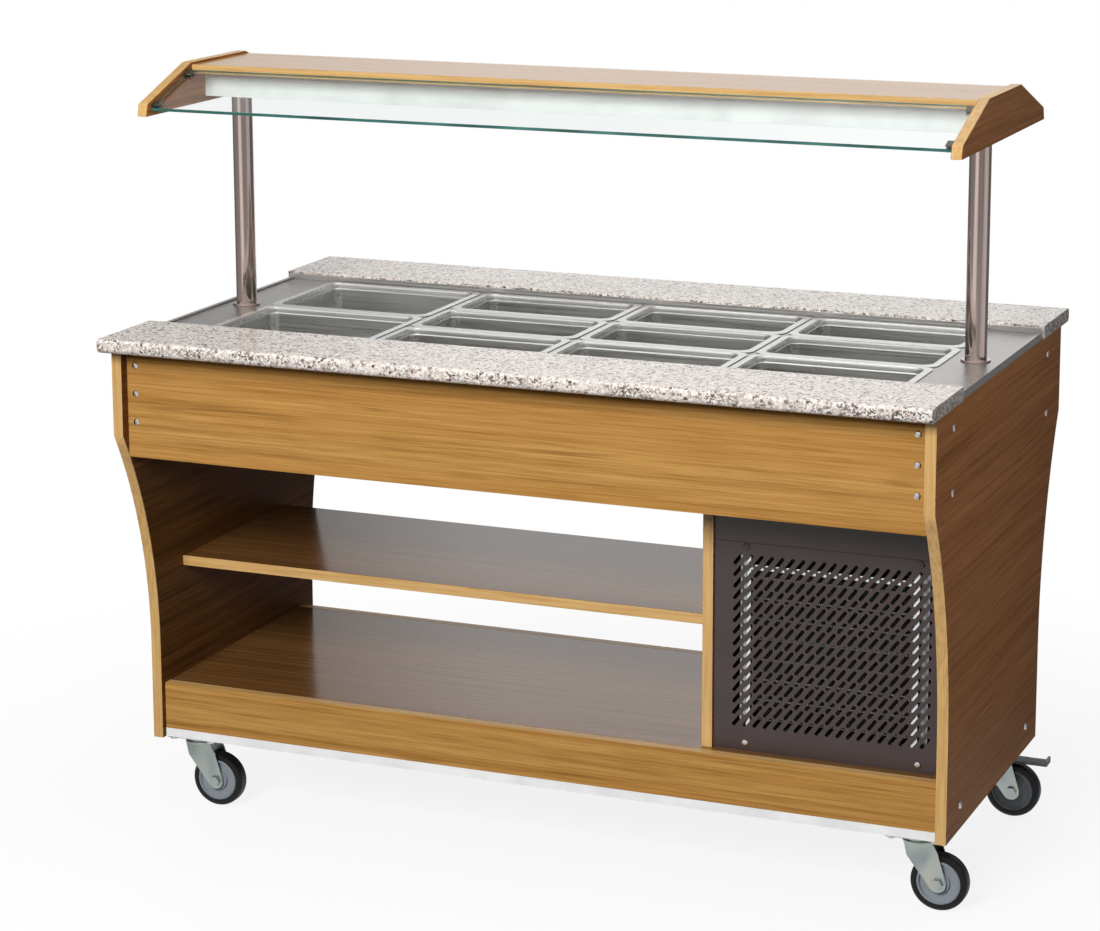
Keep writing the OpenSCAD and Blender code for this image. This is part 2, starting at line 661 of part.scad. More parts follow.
// Four top plates, each with its bearing cup and kingpin
module caster_plates() color(zinc) place()
    for (x = [-caster_x, caster_x], y = [-caster_y, caster_y]) translate([x, y, base_z]) {
        difference() {
            translate([0, 0, -3]) linear_extrude(height = 3) round_rect(plate_l, plate_w, 8);
            for (i = [-1, 1], j = [-1, 1])
                translate([i * bolt_l / 2, j * bolt_w / 2, -4]) cylinder(r = 4.2, h = 6);
        }
        translate([0, 0, -11]) cylinder(r = 25, h = 8.5);
        translate([0, 0, -25]) cylinder(r = 6, h = 20);
        translate([0, 0, -25]) cylinder(r = 10, h = 7.6);
    }

// Swivel fork with its pressed axle; brake is 1 where a pedal is hinged
module fork(x, y, brake) translate([x, y, 0]) difference() {
    union() {
        translate([0, 0, fork_top - 3]) cylinder(r = 27, h = 3);
        translate([0, 0, fork_top - 0.5]) cylinder(r = 22, h = 3.1);
        for (s = [-1, 1]) {
            along_y(s > 0 ? fork_in : -fork_in - 3, 3) {
                polygon([[-20, fork_top], [30, fork_top], [40, fork_top - 18], [trail + 15, wheel_r + 4],
                    [trail + 13, wheel_r - 8], [trail - 12, wheel_r - 9], [-14, fork_top - 26]]);
                translate([trail, wheel_r]) circle(r = 15);
            }
            translate([trail, s * (fork_in + 6), wheel_r]) rotate([90, 0, 0])
                cylinder(r = 10, h = 6.2, center = true, $fn = 6);
        }
        rod_y(trail, -fork_in - 3, wheel_r, axle_r, 2 * fork_in + 6);
    }
    translate([0, 0, fork_top - 10]) cylinder(r = 6 + run_gap, h = 20);
    if (brake == 1) rod_y(pedal_x, -40, pedal_z, 4 + run_gap, 80);
}

module fork_front_left() color(zinc) place() fork(-caster_x, -caster_y, 0);
module fork_front_right() color(zinc) place() fork(caster_x, -caster_y, 0);
module fork_rear_left() color(zinc) place() fork(-caster_x, caster_y, 1);
module fork_rear_right() color(zinc) place() fork(caster_x, caster_y, 1);

// Wheel disc with its hub, and the tyre as a separate ring around it
module wheel(x, y) translate([x + trail, y, wheel_r]) rotate([90, 0, 0]) {
    rotate_extrude($fn = 96) {
        translate([axle_r + run_gap, -fork_in + 0.3]) square([7, 2 * fork_in - 0.6]);
        translate([axle_r + 2, -4]) square([core_r - axle_r - 6, 8]);
        translate([core_r - 8, -tyre_w / 2 + 1]) square([8, tyre_w - 2]);
    }
    rotate_extrude($fn = 96) {
        translate([core_r + 0.05, -tyre_w / 2]) square([7.95, tyre_w]);
        translate([core_r + 7, -tyre_w / 2 + 5]) square([5, tyre_w - 10]);
        for (t = [-1, 1]) translate([core_r + 7, t * (tyre_w / 2 - 5)]) circle(r = 5);
    }
}

module wheel_front_left() color([0.25, 0.26, 0.27]) place() wheel(-caster_x, -caster_y);
module wheel_front_right() color([0.25, 0.26, 0.27]) place() wheel(caster_x, -caster_y);
module wheel_rear_left() color([0.25, 0.26, 0.27]) place() wheel(-caster_x, caster_y);
module wheel_rear_right() color([0.25, 0.26, 0.27]) place() wheel(caster_x, caster_y);

// Foot pedal that presses a shoe on the tyre
module pedal(x) translate([x, caster_y, pedal_z]) {
    rod_y(pedal_x, -fork_in - 4, 0, 4, 2 * fork_in + 8);
    span([pedal_x - 5, -fork_in + 1, -2], [pedal_x + 40, fork_in - 1, 2.5]);
    span([pedal_x + 39, -15, -2], [104, 15, 2.5]);
    translate([102, 0, 4]) cube([4, 30, 10], center = true);
}

module brake_pedal_left() color([0.2, 0.2, 0.21]) place() pedal(-caster_x);
module brake_pedal_right() color([0.2, 0.2, 0.21]) place() pedal(caster_x);

left_side_panel();
right_side_panel();
front_fascia();
rear_fascia();
bottom_deck();
front_plinth();
rear_plinth();
middle_shelf();
compartment_divider();
base_rails();
front_worktop();
rear_worktop();
well_tank();
well_insulation();
pan_bars();
pan_half_front();
pan_half_rear();
pan_b_front();
pan_b_middle();
pan_b_rear();
pan_c_front();
pan_c_middle();
pan_c_rear();
pan_d_front();
pan_d_middle();
pan_d_rear();
compressor();
condenser();
unit_frame();
fan_motor();
fan_blade();
grille_frame();
front_grille();
rear_grille();
control_module();
power_rocker();
power_inlet();
left_post();
right_post();
post_sockets();
canopy_left_panel();
canopy_right_panel();
canopy_board();
light_housing();
light_lens();
front_glass();
rear_glass();
glass_clips();
screws();
caster_plates();
fork_front_left();
fork_front_right();
fork_rear_left();
fork_rear_right();
wheel_front_left();
wheel_front_right();
wheel_rear_left();
wheel_rear_right();
brake_pedal_left();
brake_pedal_right();
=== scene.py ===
import json
import math

import bpy
from mathutils import Euler, Matrix, Vector

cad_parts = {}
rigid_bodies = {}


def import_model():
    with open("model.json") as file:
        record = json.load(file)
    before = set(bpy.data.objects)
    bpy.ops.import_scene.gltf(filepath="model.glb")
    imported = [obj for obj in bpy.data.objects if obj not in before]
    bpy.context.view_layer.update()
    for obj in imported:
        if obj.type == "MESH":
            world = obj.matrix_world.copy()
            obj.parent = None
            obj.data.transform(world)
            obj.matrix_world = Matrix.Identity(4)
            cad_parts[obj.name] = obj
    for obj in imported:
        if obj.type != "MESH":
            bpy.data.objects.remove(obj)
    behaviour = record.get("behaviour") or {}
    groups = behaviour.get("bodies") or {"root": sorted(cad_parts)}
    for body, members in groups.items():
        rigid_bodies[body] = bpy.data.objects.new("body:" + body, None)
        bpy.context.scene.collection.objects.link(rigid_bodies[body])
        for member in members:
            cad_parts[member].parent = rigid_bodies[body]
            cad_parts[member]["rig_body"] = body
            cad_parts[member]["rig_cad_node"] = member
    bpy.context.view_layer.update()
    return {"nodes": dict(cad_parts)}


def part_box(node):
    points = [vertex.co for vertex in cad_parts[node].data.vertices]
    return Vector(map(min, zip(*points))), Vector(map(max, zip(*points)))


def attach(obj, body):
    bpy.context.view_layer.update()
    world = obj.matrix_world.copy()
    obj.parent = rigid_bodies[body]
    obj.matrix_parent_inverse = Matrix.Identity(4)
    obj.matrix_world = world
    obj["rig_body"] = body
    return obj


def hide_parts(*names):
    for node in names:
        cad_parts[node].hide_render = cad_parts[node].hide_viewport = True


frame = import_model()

bl_info = {
    "name": "Mobile salad bar",
    "version": (1, 0, 0),
    "blender": (4, 5, 0),
    "location": "View3D > Sidebar > Salad bar",
    "description": "Dresses the packed salad bar with its boards, stone, steel, glass and casters",
    "category": "Object",
}

MM = 0.001
SHIFT = -0.018          # the cabinet's middle lies this far from the middle of the bounding box
WELL_TOP = 0.8965       # the level that the pans' rims rest on
CASTER_X = 688          # mm from the cabinet's middle to the casters' swivel axes
CASTER_Y = 247
CABINET = "cabinet"


# ---- colours and shader nodes

def linear(code):
    """An sRGB hex colour as linear RGBA."""
    parts = [int(code[i:i + 2], 16) / 255 for i in (1, 3, 5)]
    return tuple(c / 12.92 if c <= 0.04045 else ((c + 0.055) / 1.055) ** 2.4 for c in parts) + (1.0,)


def add(tree, kind, inputs=None, **settings):
    """Adds a shader node with its settings and its inputs or links."""
    node = tree.nodes.new("ShaderNode" + kind)
    for key, value in settings.items():
        setattr(node, key, value)
    for key, value in (inputs or {}).items():
        socket = node.inputs[key]
        if isinstance(value, bpy.types.NodeSocket):
            tree.links.new(value, socket)
        else:
            socket.default_value = value
    return node


def blank(name, **fixed):
    """A new material with one Principled shader; constants go straight onto its sockets."""
    made = bpy.data.materials.new(name)
    made.use_nodes = True
    tree = made.node_tree
    tree.nodes.clear()
    shader = add(tree, "BsdfPrincipled", {k.replace("_", " "): v for k, v in fixed.items()})
    add(tree, "OutputMaterial", {"Surface": shader.outputs[0]})
    return made, tree, shader


def wire(tree, shader, colour, rough=None):
    """Links a pattern to a shader's colour, and another one to its roughness."""
    tree.links.new(colour, shader.inputs["Base Color"])
    if rough is not None:
        tree.links.new(rough, shader.inputs["Roughness"])


def overlay(tree, shader, factor, other):
    """Mixes a second shader over a material's first one."""
    mixed = add(tree, "MixShader", {0: factor, 1: shader.outputs[0], 2: other.outputs[0]})
    tree.links.new(mixed.outputs[0], tree.nodes["Material Output"].inputs["Surface"])


def speckle(tree, sizes, detail=2.0, rough=0.5, warp=0.0):
    """Noise whose grains measure sizes (mm) along X, Y and Z of the object."""
    place = add(tree, "TexCoord").outputs["Object"]
    scaled = add(tree, "Mapping", {0: place, "Scale": [1 / (s * MM) for s in sizes]})
    return add(tree, "TexNoise", {"Vector": scaled.outputs[0], "Scale": 1.0, "Detail": detail,
                                  "Roughness": rough, "Distortion": warp}).outputs[0]


def ramp(tree, value, *stops, steps=False):
    """Turns a value into colours or grey levels; with steps, each stop holds up to the next one."""
    node = add(tree, "ValToRGB", {0: value})
    points = node.color_ramp.elements
    points[0].position, points[-1].position = stops[0][0], stops[-1][0]
    for place, _ in stops[1:-1]:
        points.new(place)
    for point, (_, colour) in zip(points, stops):
        point.color = linear(colour) if isinstance(colour, str) else (colour, colour, colour, 1.0)
    if steps:
        node.color_ramp.interpolation = "CONSTANT"
    return node.outputs[0]


def calc(tree, operation, a, b):
    """One step of arithmetic with two values."""
    return add(tree, "Math", {0: a, 1: b}, operation=operation).outputs[0]


def cosine(tree, heading, way):
    """How closely a heading follows a fixed way: 1 when it points there."""
    return add(tree, "VectorMath", {0: heading, 1: way}, operation="DOT_PRODUCT").outputs["Value"]


def between(tree, value, start, end, low, high, kind="LINEAR"):
    """Maps start to end onto low to high, and holds the value outside of them."""
    return add(tree, "MapRange", {0: value, 1: start, 2: end, 3: low, 4: high},
               interpolation_type=kind).outputs[0]


def spread(tree, value, low, high):
    """Maps a pattern from its usual 0.3 to 0.7 onto low to high."""
    return between(tree, value, 0.3, 0.7, low, high)


def blend(tree, factor, a, b, kind="MIX"):
    """Mixes two colours."""
    return add(tree, "Mix", {0: factor, 6: a, 7: b}, data_type="RGBA", blend_type=kind).outputs[2]


def relief(tree, shader, height, depth_mm, strength=1.0):
    """Bump on a shader from a height pattern of the given depth."""
    bump = add(tree, "Bump", {"Height": height, "Distance": depth_mm * MM, "Strength": strength})
    tree.links.new(bump.outputs[0], shader.inputs["Normal"])


def along(axis, length, width):
    """Grain sizes for a pattern that runs along one axis."""
    return [length if i == axis else width for i in range(3)]


# ---- finishes

def oak_laminate(name, axis, light, middle, dark, rough, ior):
    """Melamine-faced chipboard printed as oak: no pores, with straight streaks along the board."""
    made, tree, shader = blank(name, Roughness=rough, IOR=ior)
    streak = speckle(tree, along(axis, 520, 8), 4.0, 0.6)
    grain = ramp(tree, streak, (0.20, dark), (0.46, middle), (0.74, light))
    broad = ramp(tree, speckle(tree, along(axis, 1600, 48)), (0.36, "#EADFCF"), (0.60, "#FFFFFF"))
    grain = blend(tree, 0.5, grain, broad, "MULTIPLY")
    # fibres finer than a pixel are drawn 3 mm wide so that they still show
    fibre = speckle(tree, along(axis, 130, 3.0))
    fine = ramp(tree, fibre, (0.36, "#D3C6B2"), (0.55, "#FFFFFF"))
    grain = blend(tree, 0.5, grain, fine, "MULTIPLY")
    # thin dark veins: the narrow band where a long noise crosses its middle, kept to some stretches
    vein = ramp(tree, speckle(tree, along(axis, 1300, 30)),
                (0.480, 0.0), (0.497, 1.0), (0.503, 1.0), (0.520, 0.0))
    stretch = ramp(tree, speckle(tree, along(axis, 420, 36)), (0.50, 0.0), (0.66, 0.55))
    grain = blend(tree, calc(tree, "MULTIPLY", vein, stretch), grain, linear("#6E4A22"))
    wire(tree, shader, grain, spread(tree, fibre, rough * 0.88, rough * 1.16))
    relief(tree, shader, fibre, 0.03, 0.4)
    return made


def oak_edging(axis, light, dark):
    """ABS edge band printed to match the boards: a little paler and glossier, with sparse streaks."""
    made, tree, shader = blank("abs_edge_band_" + "xyz"[axis], Roughness=0.33, IOR=1.5)
    streak = speckle(tree, along(axis, 150, 5), 4.0, 0.6, 0.3)
    wire(tree, shader, ramp(tree, streak, (0.32, dark), (0.60, light)))
    relief(tree, shader, streak, 0.04, 0.4)
    return made


def granite(name, crystal_mm, rough, mica_share):
    """Pale granite: cream and grey crystals 3 to 6 mm wide with black mica, glossy or sawn."""
    made, tree, shader = blank(name, Roughness=rough, IOR=1.5)
    place = add(tree, "TexCoord").outputs["Object"]
    # a fine noise bends the cells' straight borders
    push = add(tree, "TexNoise", {"Vector": place, "Scale": 260.0, "Detail": 2.0}).outputs[1]
    bent = add(tree, "Mix", {0: 0.0026, 4: place, 5: push}, data_type="VECTOR").outputs[1]
    cells = []
    for size in (crystal_mm, crystal_mm * 0.55):
        found = add(tree, "TexVoronoi", {"Vector": bent, "Scale": 1 / (size * MM)}, feature="F1")
        cells.append(add(tree, "SeparateColor", {0: found.outputs["Color"]}).outputs)
    crystals = ramp(tree, cells[0][0], (0.0, "#F1EAE0"), (0.30, "#E3DBD6"), (0.52, "#D3C8C4"),
                    (0.70, "#DCC9BF"), (0.82, "#B3A8A4"), (0.91, "#8B7D76"), (0.965, "#55493F"), steps=True)
    mica = ramp(tree, cells[1][1], (0.0, 0.0), (0.995 - mica_share, 0.0), (1.0 - mica_share, 1.0), steps=True)
    clouds = ramp(tree, speckle(tree, [38] * 3, 3.0), (0.4, 0.25), (0.62, 0.95))
    stone = blend(tree, calc(tree, "MULTIPLY", mica, clouds), crystals, linear("#4C433E"))
    wire(tree, shader, stone, spread(tree, cells[0][2], rough * 0.8, rough * 1.25))
    return made


def steel(name, colour, axis, rough, grain_mm=2.5):
    """Metal sheet or tube: metallic, with rolling or brushing lines along one axis."""
    made, tree, shader = blank(name, Metallic=1.0, Roughness=rough)
    lines = speckle(tree, along(axis, 260, grain_mm), 3.0, 0.6)
    tone = ramp(tree, lines, (0.35, "#E9E7E6"), (0.62, "#FFFFFF"))
    wire(tree, shader, blend(tree, 0.9, linear(colour), tone, "MULTIPLY"),
         spread(tree, lines, rough * 0.8, rough * 1.3))
    relief(tree, shader, lines, 0.02, 0.35)
    return made


def coated(name, colour, rough, peel_mm=2.0, depth=0.05, **extra):
    """Paint, powder coat or moulded plastic: an even colour with a fine orange peel and slight unevenness."""
    made, tree, shader = blank(name, Roughness=rough, **extra)
    peel = speckle(tree, [peel_mm] * 3)
    cloud = ramp(tree, speckle(tree, [60] * 3, 3.0), (0.35, "#E6E6E6"), (0.65, "#FFFFFF"))
    wire(tree, shader, blend(tree, 0.6, linear(colour), cloud, "MULTIPLY"),
         spread(tree, peel, rough * 0.88, rough * 1.14))
    relief(tree, shader, peel, depth, 0.5)
    return made


def zinc_plating():
    """Zinc-plated pressed steel: bright, faintly blue and yellow in clouds, with soft gloss."""
    made, tree, shader = blank("bright_zinc_plating", Metallic=1.0, Roughness=0.3)
    tint = speckle(tree, [34, 34, 60], 1.5, 0.4)
    wire(tree, shader, ramp(tree, tint, (0.32, "#8E9897"), (0.5, "#A5ADA9"), (0.68, "#B3B4AB")),
         spread(tree, tint, 0.24, 0.38))
    relief(tree, shader, speckle(tree, [2.5] * 3), 0.03, 0.4)
    return made


def clear_glass():
    """Toughened float glass: clear, faintly green, and it lets the light on to what is behind it."""
    tint = linear("#FAFDFC")
    made, tree, shader = blank("toughened_float_glass", Base_Color=tint, Roughness=0.0, IOR=1.32,
                               Transmission_Weight=1.0)
    smear = speckle(tree, [180, 60, 60])
    tree.links.new(spread(tree, smear, 0.0, 0.012), shader.inputs["Roughness"])
    path = add(tree, "LightPath").outputs
    passing = calc(tree, "MAXIMUM", path["Is Shadow Ray"], path["Is Diffuse Ray"])
    overlay(tree, shader, passing, add(tree, "BsdfTransparent", {"Color": tint}))
    return made


def glass_edge():
    """Ground edge of float glass, where the eye looks down the sheet into its dark green body."""
    made, tree, shader = blank("ground_glass_edge", Roughness=0.25, IOR=1.5)
    wire(tree, shader, ramp(tree, speckle(tree, [90, 8, 8]), (0.35, "#1F4F4A"), (0.65, "#3F7F76")))
    return made


# name, colour, axis of the rolling or brushing lines, roughness, width of a line in mm
METALS = {
    "deck": ("brushed_stainless_sheet", "#C6C3C1", 0, 0.32),
    "pan": ("deep_drawn_stainless", "#F0F0EE", 0, 0.3, 4.0),
    # painted reflection: the posts' rosy tint stands in for the wood mirrored in them
    "tube": ("polished_stainless_tube_painted_warm_reflection", "#D2BEB7", 2, 0.1, 3.0),
    "fastener": ("polished_stainless_fastener", "#D2CFCB", 2, 0.2, 1.5),
    "clip": ("satin_nickel_clip", "#85827A", 0, 0.35, 1.5),
    "galvanised": ("galvanised_sheet", "#C9CDCE", 2, 0.34, 6.0),
    "fins": ("aluminium_fin_stock", "#6B6F72", 0, 0.42),
    "pipe": ("copper_pipe", "#B87A58", 2, 0.3),
}
# name, colour, roughness, width and depth of the orange peel in mm
COATS = {
    # painted highlight: the bright metal rail is made white, so its face shows as a blown highlight
    "rail": ("satin_white_rail_painted_highlight", "#FFFFFF", 0.3),
    "grille": ("brown_powder_coat", "#423736", 0.42, 2.2, 0.08),
    "enamel": ("white_stove_enamel", "#F8FAFA", 0.3),
    "black_paint": ("black_stove_enamel", "#1B1B1D", 0.33),
    "black_plastic": ("moulded_black_abs", "#17171A", 0.45),
    "dark_plastic": ("glass_filled_nylon", "#2A2A2D", 0.5),
    "pedal": ("moulded_dark_grey_nylon", "#1C1E20", 0.42),
    "pedal_tip": ("moulded_grey_nylon", "#6B6F73", 0.45),
    "display": ("smoked_acrylic_window", "#2A0D0D", 0.08, 3.0, 0.0),
    "key": ("grey_membrane_key", "#8B8E92", 0.5),
    "disc": ("grey_polypropylene_wheel_disc", "#8D939A", 0.48, 3.0, 0.1),
    "foam": ("rigid_polyurethane_foam", "#DDD2A0", 0.85, 4.0, 0.4),
}
FINISH = {}


def finishes():
    """Makes every finish once, from the settings, the first time that a piece asks for one."""
    if FINISH:
        return FINISH
    wood, stone = bpy.context.scene.salad_bar_wood, bpy.context.scene.salad_bar_stone
    outer = (wood.light, wood.middle, wood.dark)
    sides = (wood.side_shade_light, wood.side_shade_middle, wood.side_shade_dark)
    inner = (wood.painted_shade_light, wood.painted_shade_middle, wood.painted_shade_dark)
    # matt where it stands; painted shade makes the sides redder and the compartment's faces, deck and shelf
    # browner; the deck, shelf and roof keep their shine
    FINISH["oak_x"] = oak_laminate("melamine_oak_laminate", 0, *outer, 0.48, 1.1)
    FINISH["oak_y"] = oak_laminate("melamine_oak_laminate_painted_side_shade", 1, *sides, 0.48, 1.1)
    FINISH["oak_painted_shade_standing"] = oak_laminate("melamine_oak_laminate_painted_shade", 1, *inner, 0.48, 1.1)
    FINISH["oak_lying"] = oak_laminate("glossy_melamine_oak_laminate", 0, *outer, 0.19, 1.62)
    FINISH["oak_inner"] = oak_laminate("glossy_melamine_oak_laminate_painted_shade", 0, *inner, 0.15, 1.65)
    for axis, key in enumerate("xyz"):
        FINISH["edge_" + key] = oak_edging(axis, wood.edge_light, wood.edge_dark)
    FINISH["granite"] = granite("polished_granite", stone.crystal / MM, 0.16, 0.12)
    FINISH["granite_edge"] = granite("honed_granite_edge", stone.crystal / MM, 0.4, 0.36)
    for key, values in METALS.items():
        FINISH[key] = steel(*values)
    for key, values in COATS.items():
        FINISH[key] = coated(*values)
    FINISH["zinc"] = zinc_plating()
    FINISH["opal"] = coated("opal_acrylic_diffuser", "#F2F4F3", 0.28, 3.0, 0.02, Subsurface_Weight=0.25)
    FINISH["green"] = coated("green_switch_polycarbonate", "#1F7A35", 0.2, Coat_Weight=0.4)
    FINISH["rubber"] = coated("black_rubber_tyre", "#0B0B0D", 0.5, 3.0, 0.12, IOR=1.35)
    FINISH["glass"] = clear_glass()
    FINISH["glass_edge"] = glass_edge()
    return FINISH


# ---- modelling helpers

def mode(kind):
    """Changes to edit mode or object mode."""
    bpy.ops.object.mode_set(mode=kind)


def clear_selection():
    """Back to object mode with nothing selected."""
    if bpy.context.mode != "OBJECT":
        mode("OBJECT")
    bpy.ops.object.select_all(action="DESELECT")


def named(name):
    """The object that an operator has just added, under its piece name."""
    ob = bpy.context.object
    ob.name = ob.data.name = name
    return ob


def only(ob):
    """Selects this object alone and makes it active."""
    clear_selection()
    ob.select_set(True)
    bpy.context.view_layer.objects.active = ob


def pick(ob, test, kind="FACE"):
    """Selects, in edit mode, the faces (middle, normal) or edges (middle, direction) that pass a test."""
    only(ob)
    mode("EDIT")
    bpy.ops.mesh.select_mode(type=kind)
    bpy.ops.mesh.select_all(action="DESELECT")
    mode("OBJECT")
    mesh = ob.data
    if kind == "FACE":
        for face in mesh.polygons:
            face.select = test(face.center, face.normal)
    else:
        for edge in mesh.edges:
            a, b = (mesh.vertices[i].co for i in edge.vertices)
            edge.select = test((a + b) / 2, (b - a).normalized())
    mode("EDIT")


def inset(steps):
    """Insets the picked faces ring by ring (mm inward, mm outward along the normal) and ends edit mode."""
    for inward, outward in steps:
        bpy.ops.mesh.inset(thickness=inward * MM, depth=outward * MM)
    mode("OBJECT")


def extrude(move):
    """Extrudes what is picked by a vector and stays in edit mode."""
    bpy.ops.mesh.extrude_region_move(TRANSFORM_OT_translate={"value": move})


def block(name, low, high):
    """A box primitive between two corners, ready to be shaped."""
    clear_selection()
    bpy.ops.mesh.primitive_cube_add(size=1, location=[(a + b) / 2 for a, b in zip(low, high)])
    ob = named(name)
    ob.scale = [b - a for a, b in zip(low, high)]
    bpy.ops.object.transform_apply()
    return ob


def drum(name, radius, depth, sides, at=(0, 0, 0), turn=(0, 0, 0)):
    """A cylinder primitive, ready to be shaped."""
    clear_selection()
    bpy.ops.mesh.primitive_cylinder_add(vertices=sides, radius=radius, depth=depth, location=at,
                                        rotation=turn)
    ob = named(name)
    bpy.ops.object.transform_apply()
    return ob


def modify(ob, kind, **settings):
    """Adds a modifier with its settings and applies it."""
    only(ob)
    made = ob.modifiers.new(kind, kind)
    for key, value in settings.items():
        setattr(made, key, value)
    bpy.ops.object.modifier_apply(modifier=made.name)


def ease(ob, width, segments=2, angle=32):
    """Rounds the sharp edges; the wide faces stay flat in their shading."""
    only(ob)
    if width:
        modify(ob, "BEVEL", width=width, segments=segments, limit_method="ANGLE",
               angle_limit=math.radians(angle))
    bpy.ops.object.shade_smooth_by_angle(angle=math.radians(38))
    modify(ob, "WEIGHTED_NORMAL", mode="FACE_AREA", weight=100, keep_sharp=True)
    return ob


def traced(name, node):
    """A copy of a CAD node as a new object, free of its body and with merged faces."""
    only(frame["nodes"][node])
    bpy.ops.object.duplicate()
    ob = named(name)
    bpy.ops.object.parent_clear(type="CLEAR_KEEP_TRANSFORM")
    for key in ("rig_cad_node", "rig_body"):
        if key in ob:
            del ob[key]
    ob.data.materials.clear()
    bpy.ops.mesh.customdata_custom_splitnormals_clear()
    mode("EDIT")
    bpy.ops.mesh.select_mode(type="VERT")
    bpy.ops.mesh.select_all(action="SELECT")
    bpy.ops.mesh.remove_doubles(threshold=2e-6)
    bpy.ops.mesh.dissolve_limited(angle_limit=math.radians(0.4))
    mode("OBJECT")
    return ob


def joined(name, parts):
    """Several objects as one."""
    clear_selection()
    for part in parts:
        part.select_set(True)
    bpy.context.view_layer.objects.active = parts[0]
    bpy.ops.object.join()
    return named(name)


def again(ob, matrix):
    """A copy of an object with its own mesh, moved by a matrix."""
    only(ob)
    bpy.ops.object.duplicate()
    twin = bpy.context.object
    twin.matrix_world = matrix @ twin.matrix_world
    bpy.ops.object.transform_apply()
    return twin


def remove(ob):
    """Deletes a helper object."""
    only(ob)
    bpy.ops.object.delete()


def clad(ob, first, *others):
    """Gives a piece its finishes: the first covers all, each other one goes where its test says."""
    ob.data.materials.clear()
    ob.data.materials.append(finishes()[first])
    for face in ob.data.polygons:
        face.material_index = 0
    for index, (key, test) in enumerate(others, 1):
        ob.data.materials.append(finishes()[key])
        for face in ob.data.polygons:
            if test(face.center, face.normal):
                face.material_index = index


def dress(ob, body, slot, *nodes):
    """Ties a finished piece to its body and hides the CAD nodes that it stands for; the slot is not used."""
    clear_selection()
    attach(ob, body)
    if nodes:
        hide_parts(*nodes)


def piece(name, node, finish, slot, width=0.0, segments=2, angle=32, body=CABINET):
    """A CAD node traced as a piece with eased edges and one finish, tied to its body."""
    ob = ease(traced(name, node), width, segments, angle)
    clad(ob, finish)
    dress(ob, body, slot, node)


def paint(key, *nodes):
    """Gives CAD nodes that stay as they are a finish."""
    for n in nodes:
        slots = frame["nodes"][n].data.materials
        slots.clear()
        slots.append(finishes()[key])


# ---- settings

def shade(name, colour, what):
    """A colour setting."""
    return bpy.props.StringProperty(name=name, default=colour, description=what + ", sRGB hex")


def span(name, length, what):
    """A length setting, in metres."""
    return bpy.props.FloatProperty(name=name, default=length, unit="LENGTH", subtype="DISTANCE",
                                   description=what)


class SaladBarWood(bpy.types.PropertyGroup):
    """Colours and edge rounding of the laminate boards."""

    light: shade("Light grain", "#D0A05C", "Palest colour of the laminate")
    middle: shade("Middle grain", "#BE8E4E", "Main colour of the laminate")
    dark: shade("Dark grain", "#966832", "Darkest streaks of the laminate")
    # painted side shade: the same laminate made redder and darker for the side boards, which the light barely
    # reaches
    side_shade_light: shade("Side shade light grain", "#D09260", "Palest colour of the side boards")
    side_shade_middle: shade("Side shade middle grain", "#BE8252", "Main colour of the side boards")
    side_shade_dark: shade("Side shade dark grain", "#965E35", "Darkest streaks of the side boards")
    # painted shade: the same laminate made browner and darker for the compartment, where little light falls
    painted_shade_light: shade("Painted shade light grain", "#92693A", "Palest colour inside the compartment")
    painted_shade_middle: shade("Painted shade middle grain", "#7B5530", "Main colour inside the compartment")
    painted_shade_dark: shade("Painted shade dark grain", "#5A3A1E", "Darkest streaks inside the compartment")
    edge_light: shade("Edge band", "#DBB273", "Main colour of the edge band")
    edge_dark: shade("Edge streaks", "#C5975A", "Streaks of the edge band")
    round: span("Edge rounding", 1.0 * MM, "Radius along every board edge")


class SaladBarStone(bpy.types.PropertyGroup):
    """Grain of the granite worktops."""

    crystal: span("Crystal size", 4.6 * MM, "Mean width of a granite crystal")
    arris: span("Arris", 1.2 * MM, "Rounding of the sawn edges")


class SaladBarPans(bpy.types.PropertyGroup):
    """Form of the food pans."""

    rim: span("Rim width", 11.5 * MM, "Width of the flat rim along the straight sides")
    corner: span("Mouth corner", 22 * MM, "Corner radius of a pan's mouth")
    depth: span("Depth", 150 * MM, "Depth of a pan below its rim")


class SaladBarStage(bpy.types.PropertyGroup):
    """Camera and light of the studio."""

    lens: bpy.props.FloatProperty(name="Lens", default=101.969, unit="CAMERA",
                                  description="Focal length on a 36 mm frame")
    key: bpy.props.FloatProperty(name="Key light", default=305.0, unit="POWER",
                                 description="Power of the soft key light")
    fill: bpy.props.FloatProperty(name="Sky light", default=0.045,
                                  description="Strength of the surroundings as a light")


# ---- pieces

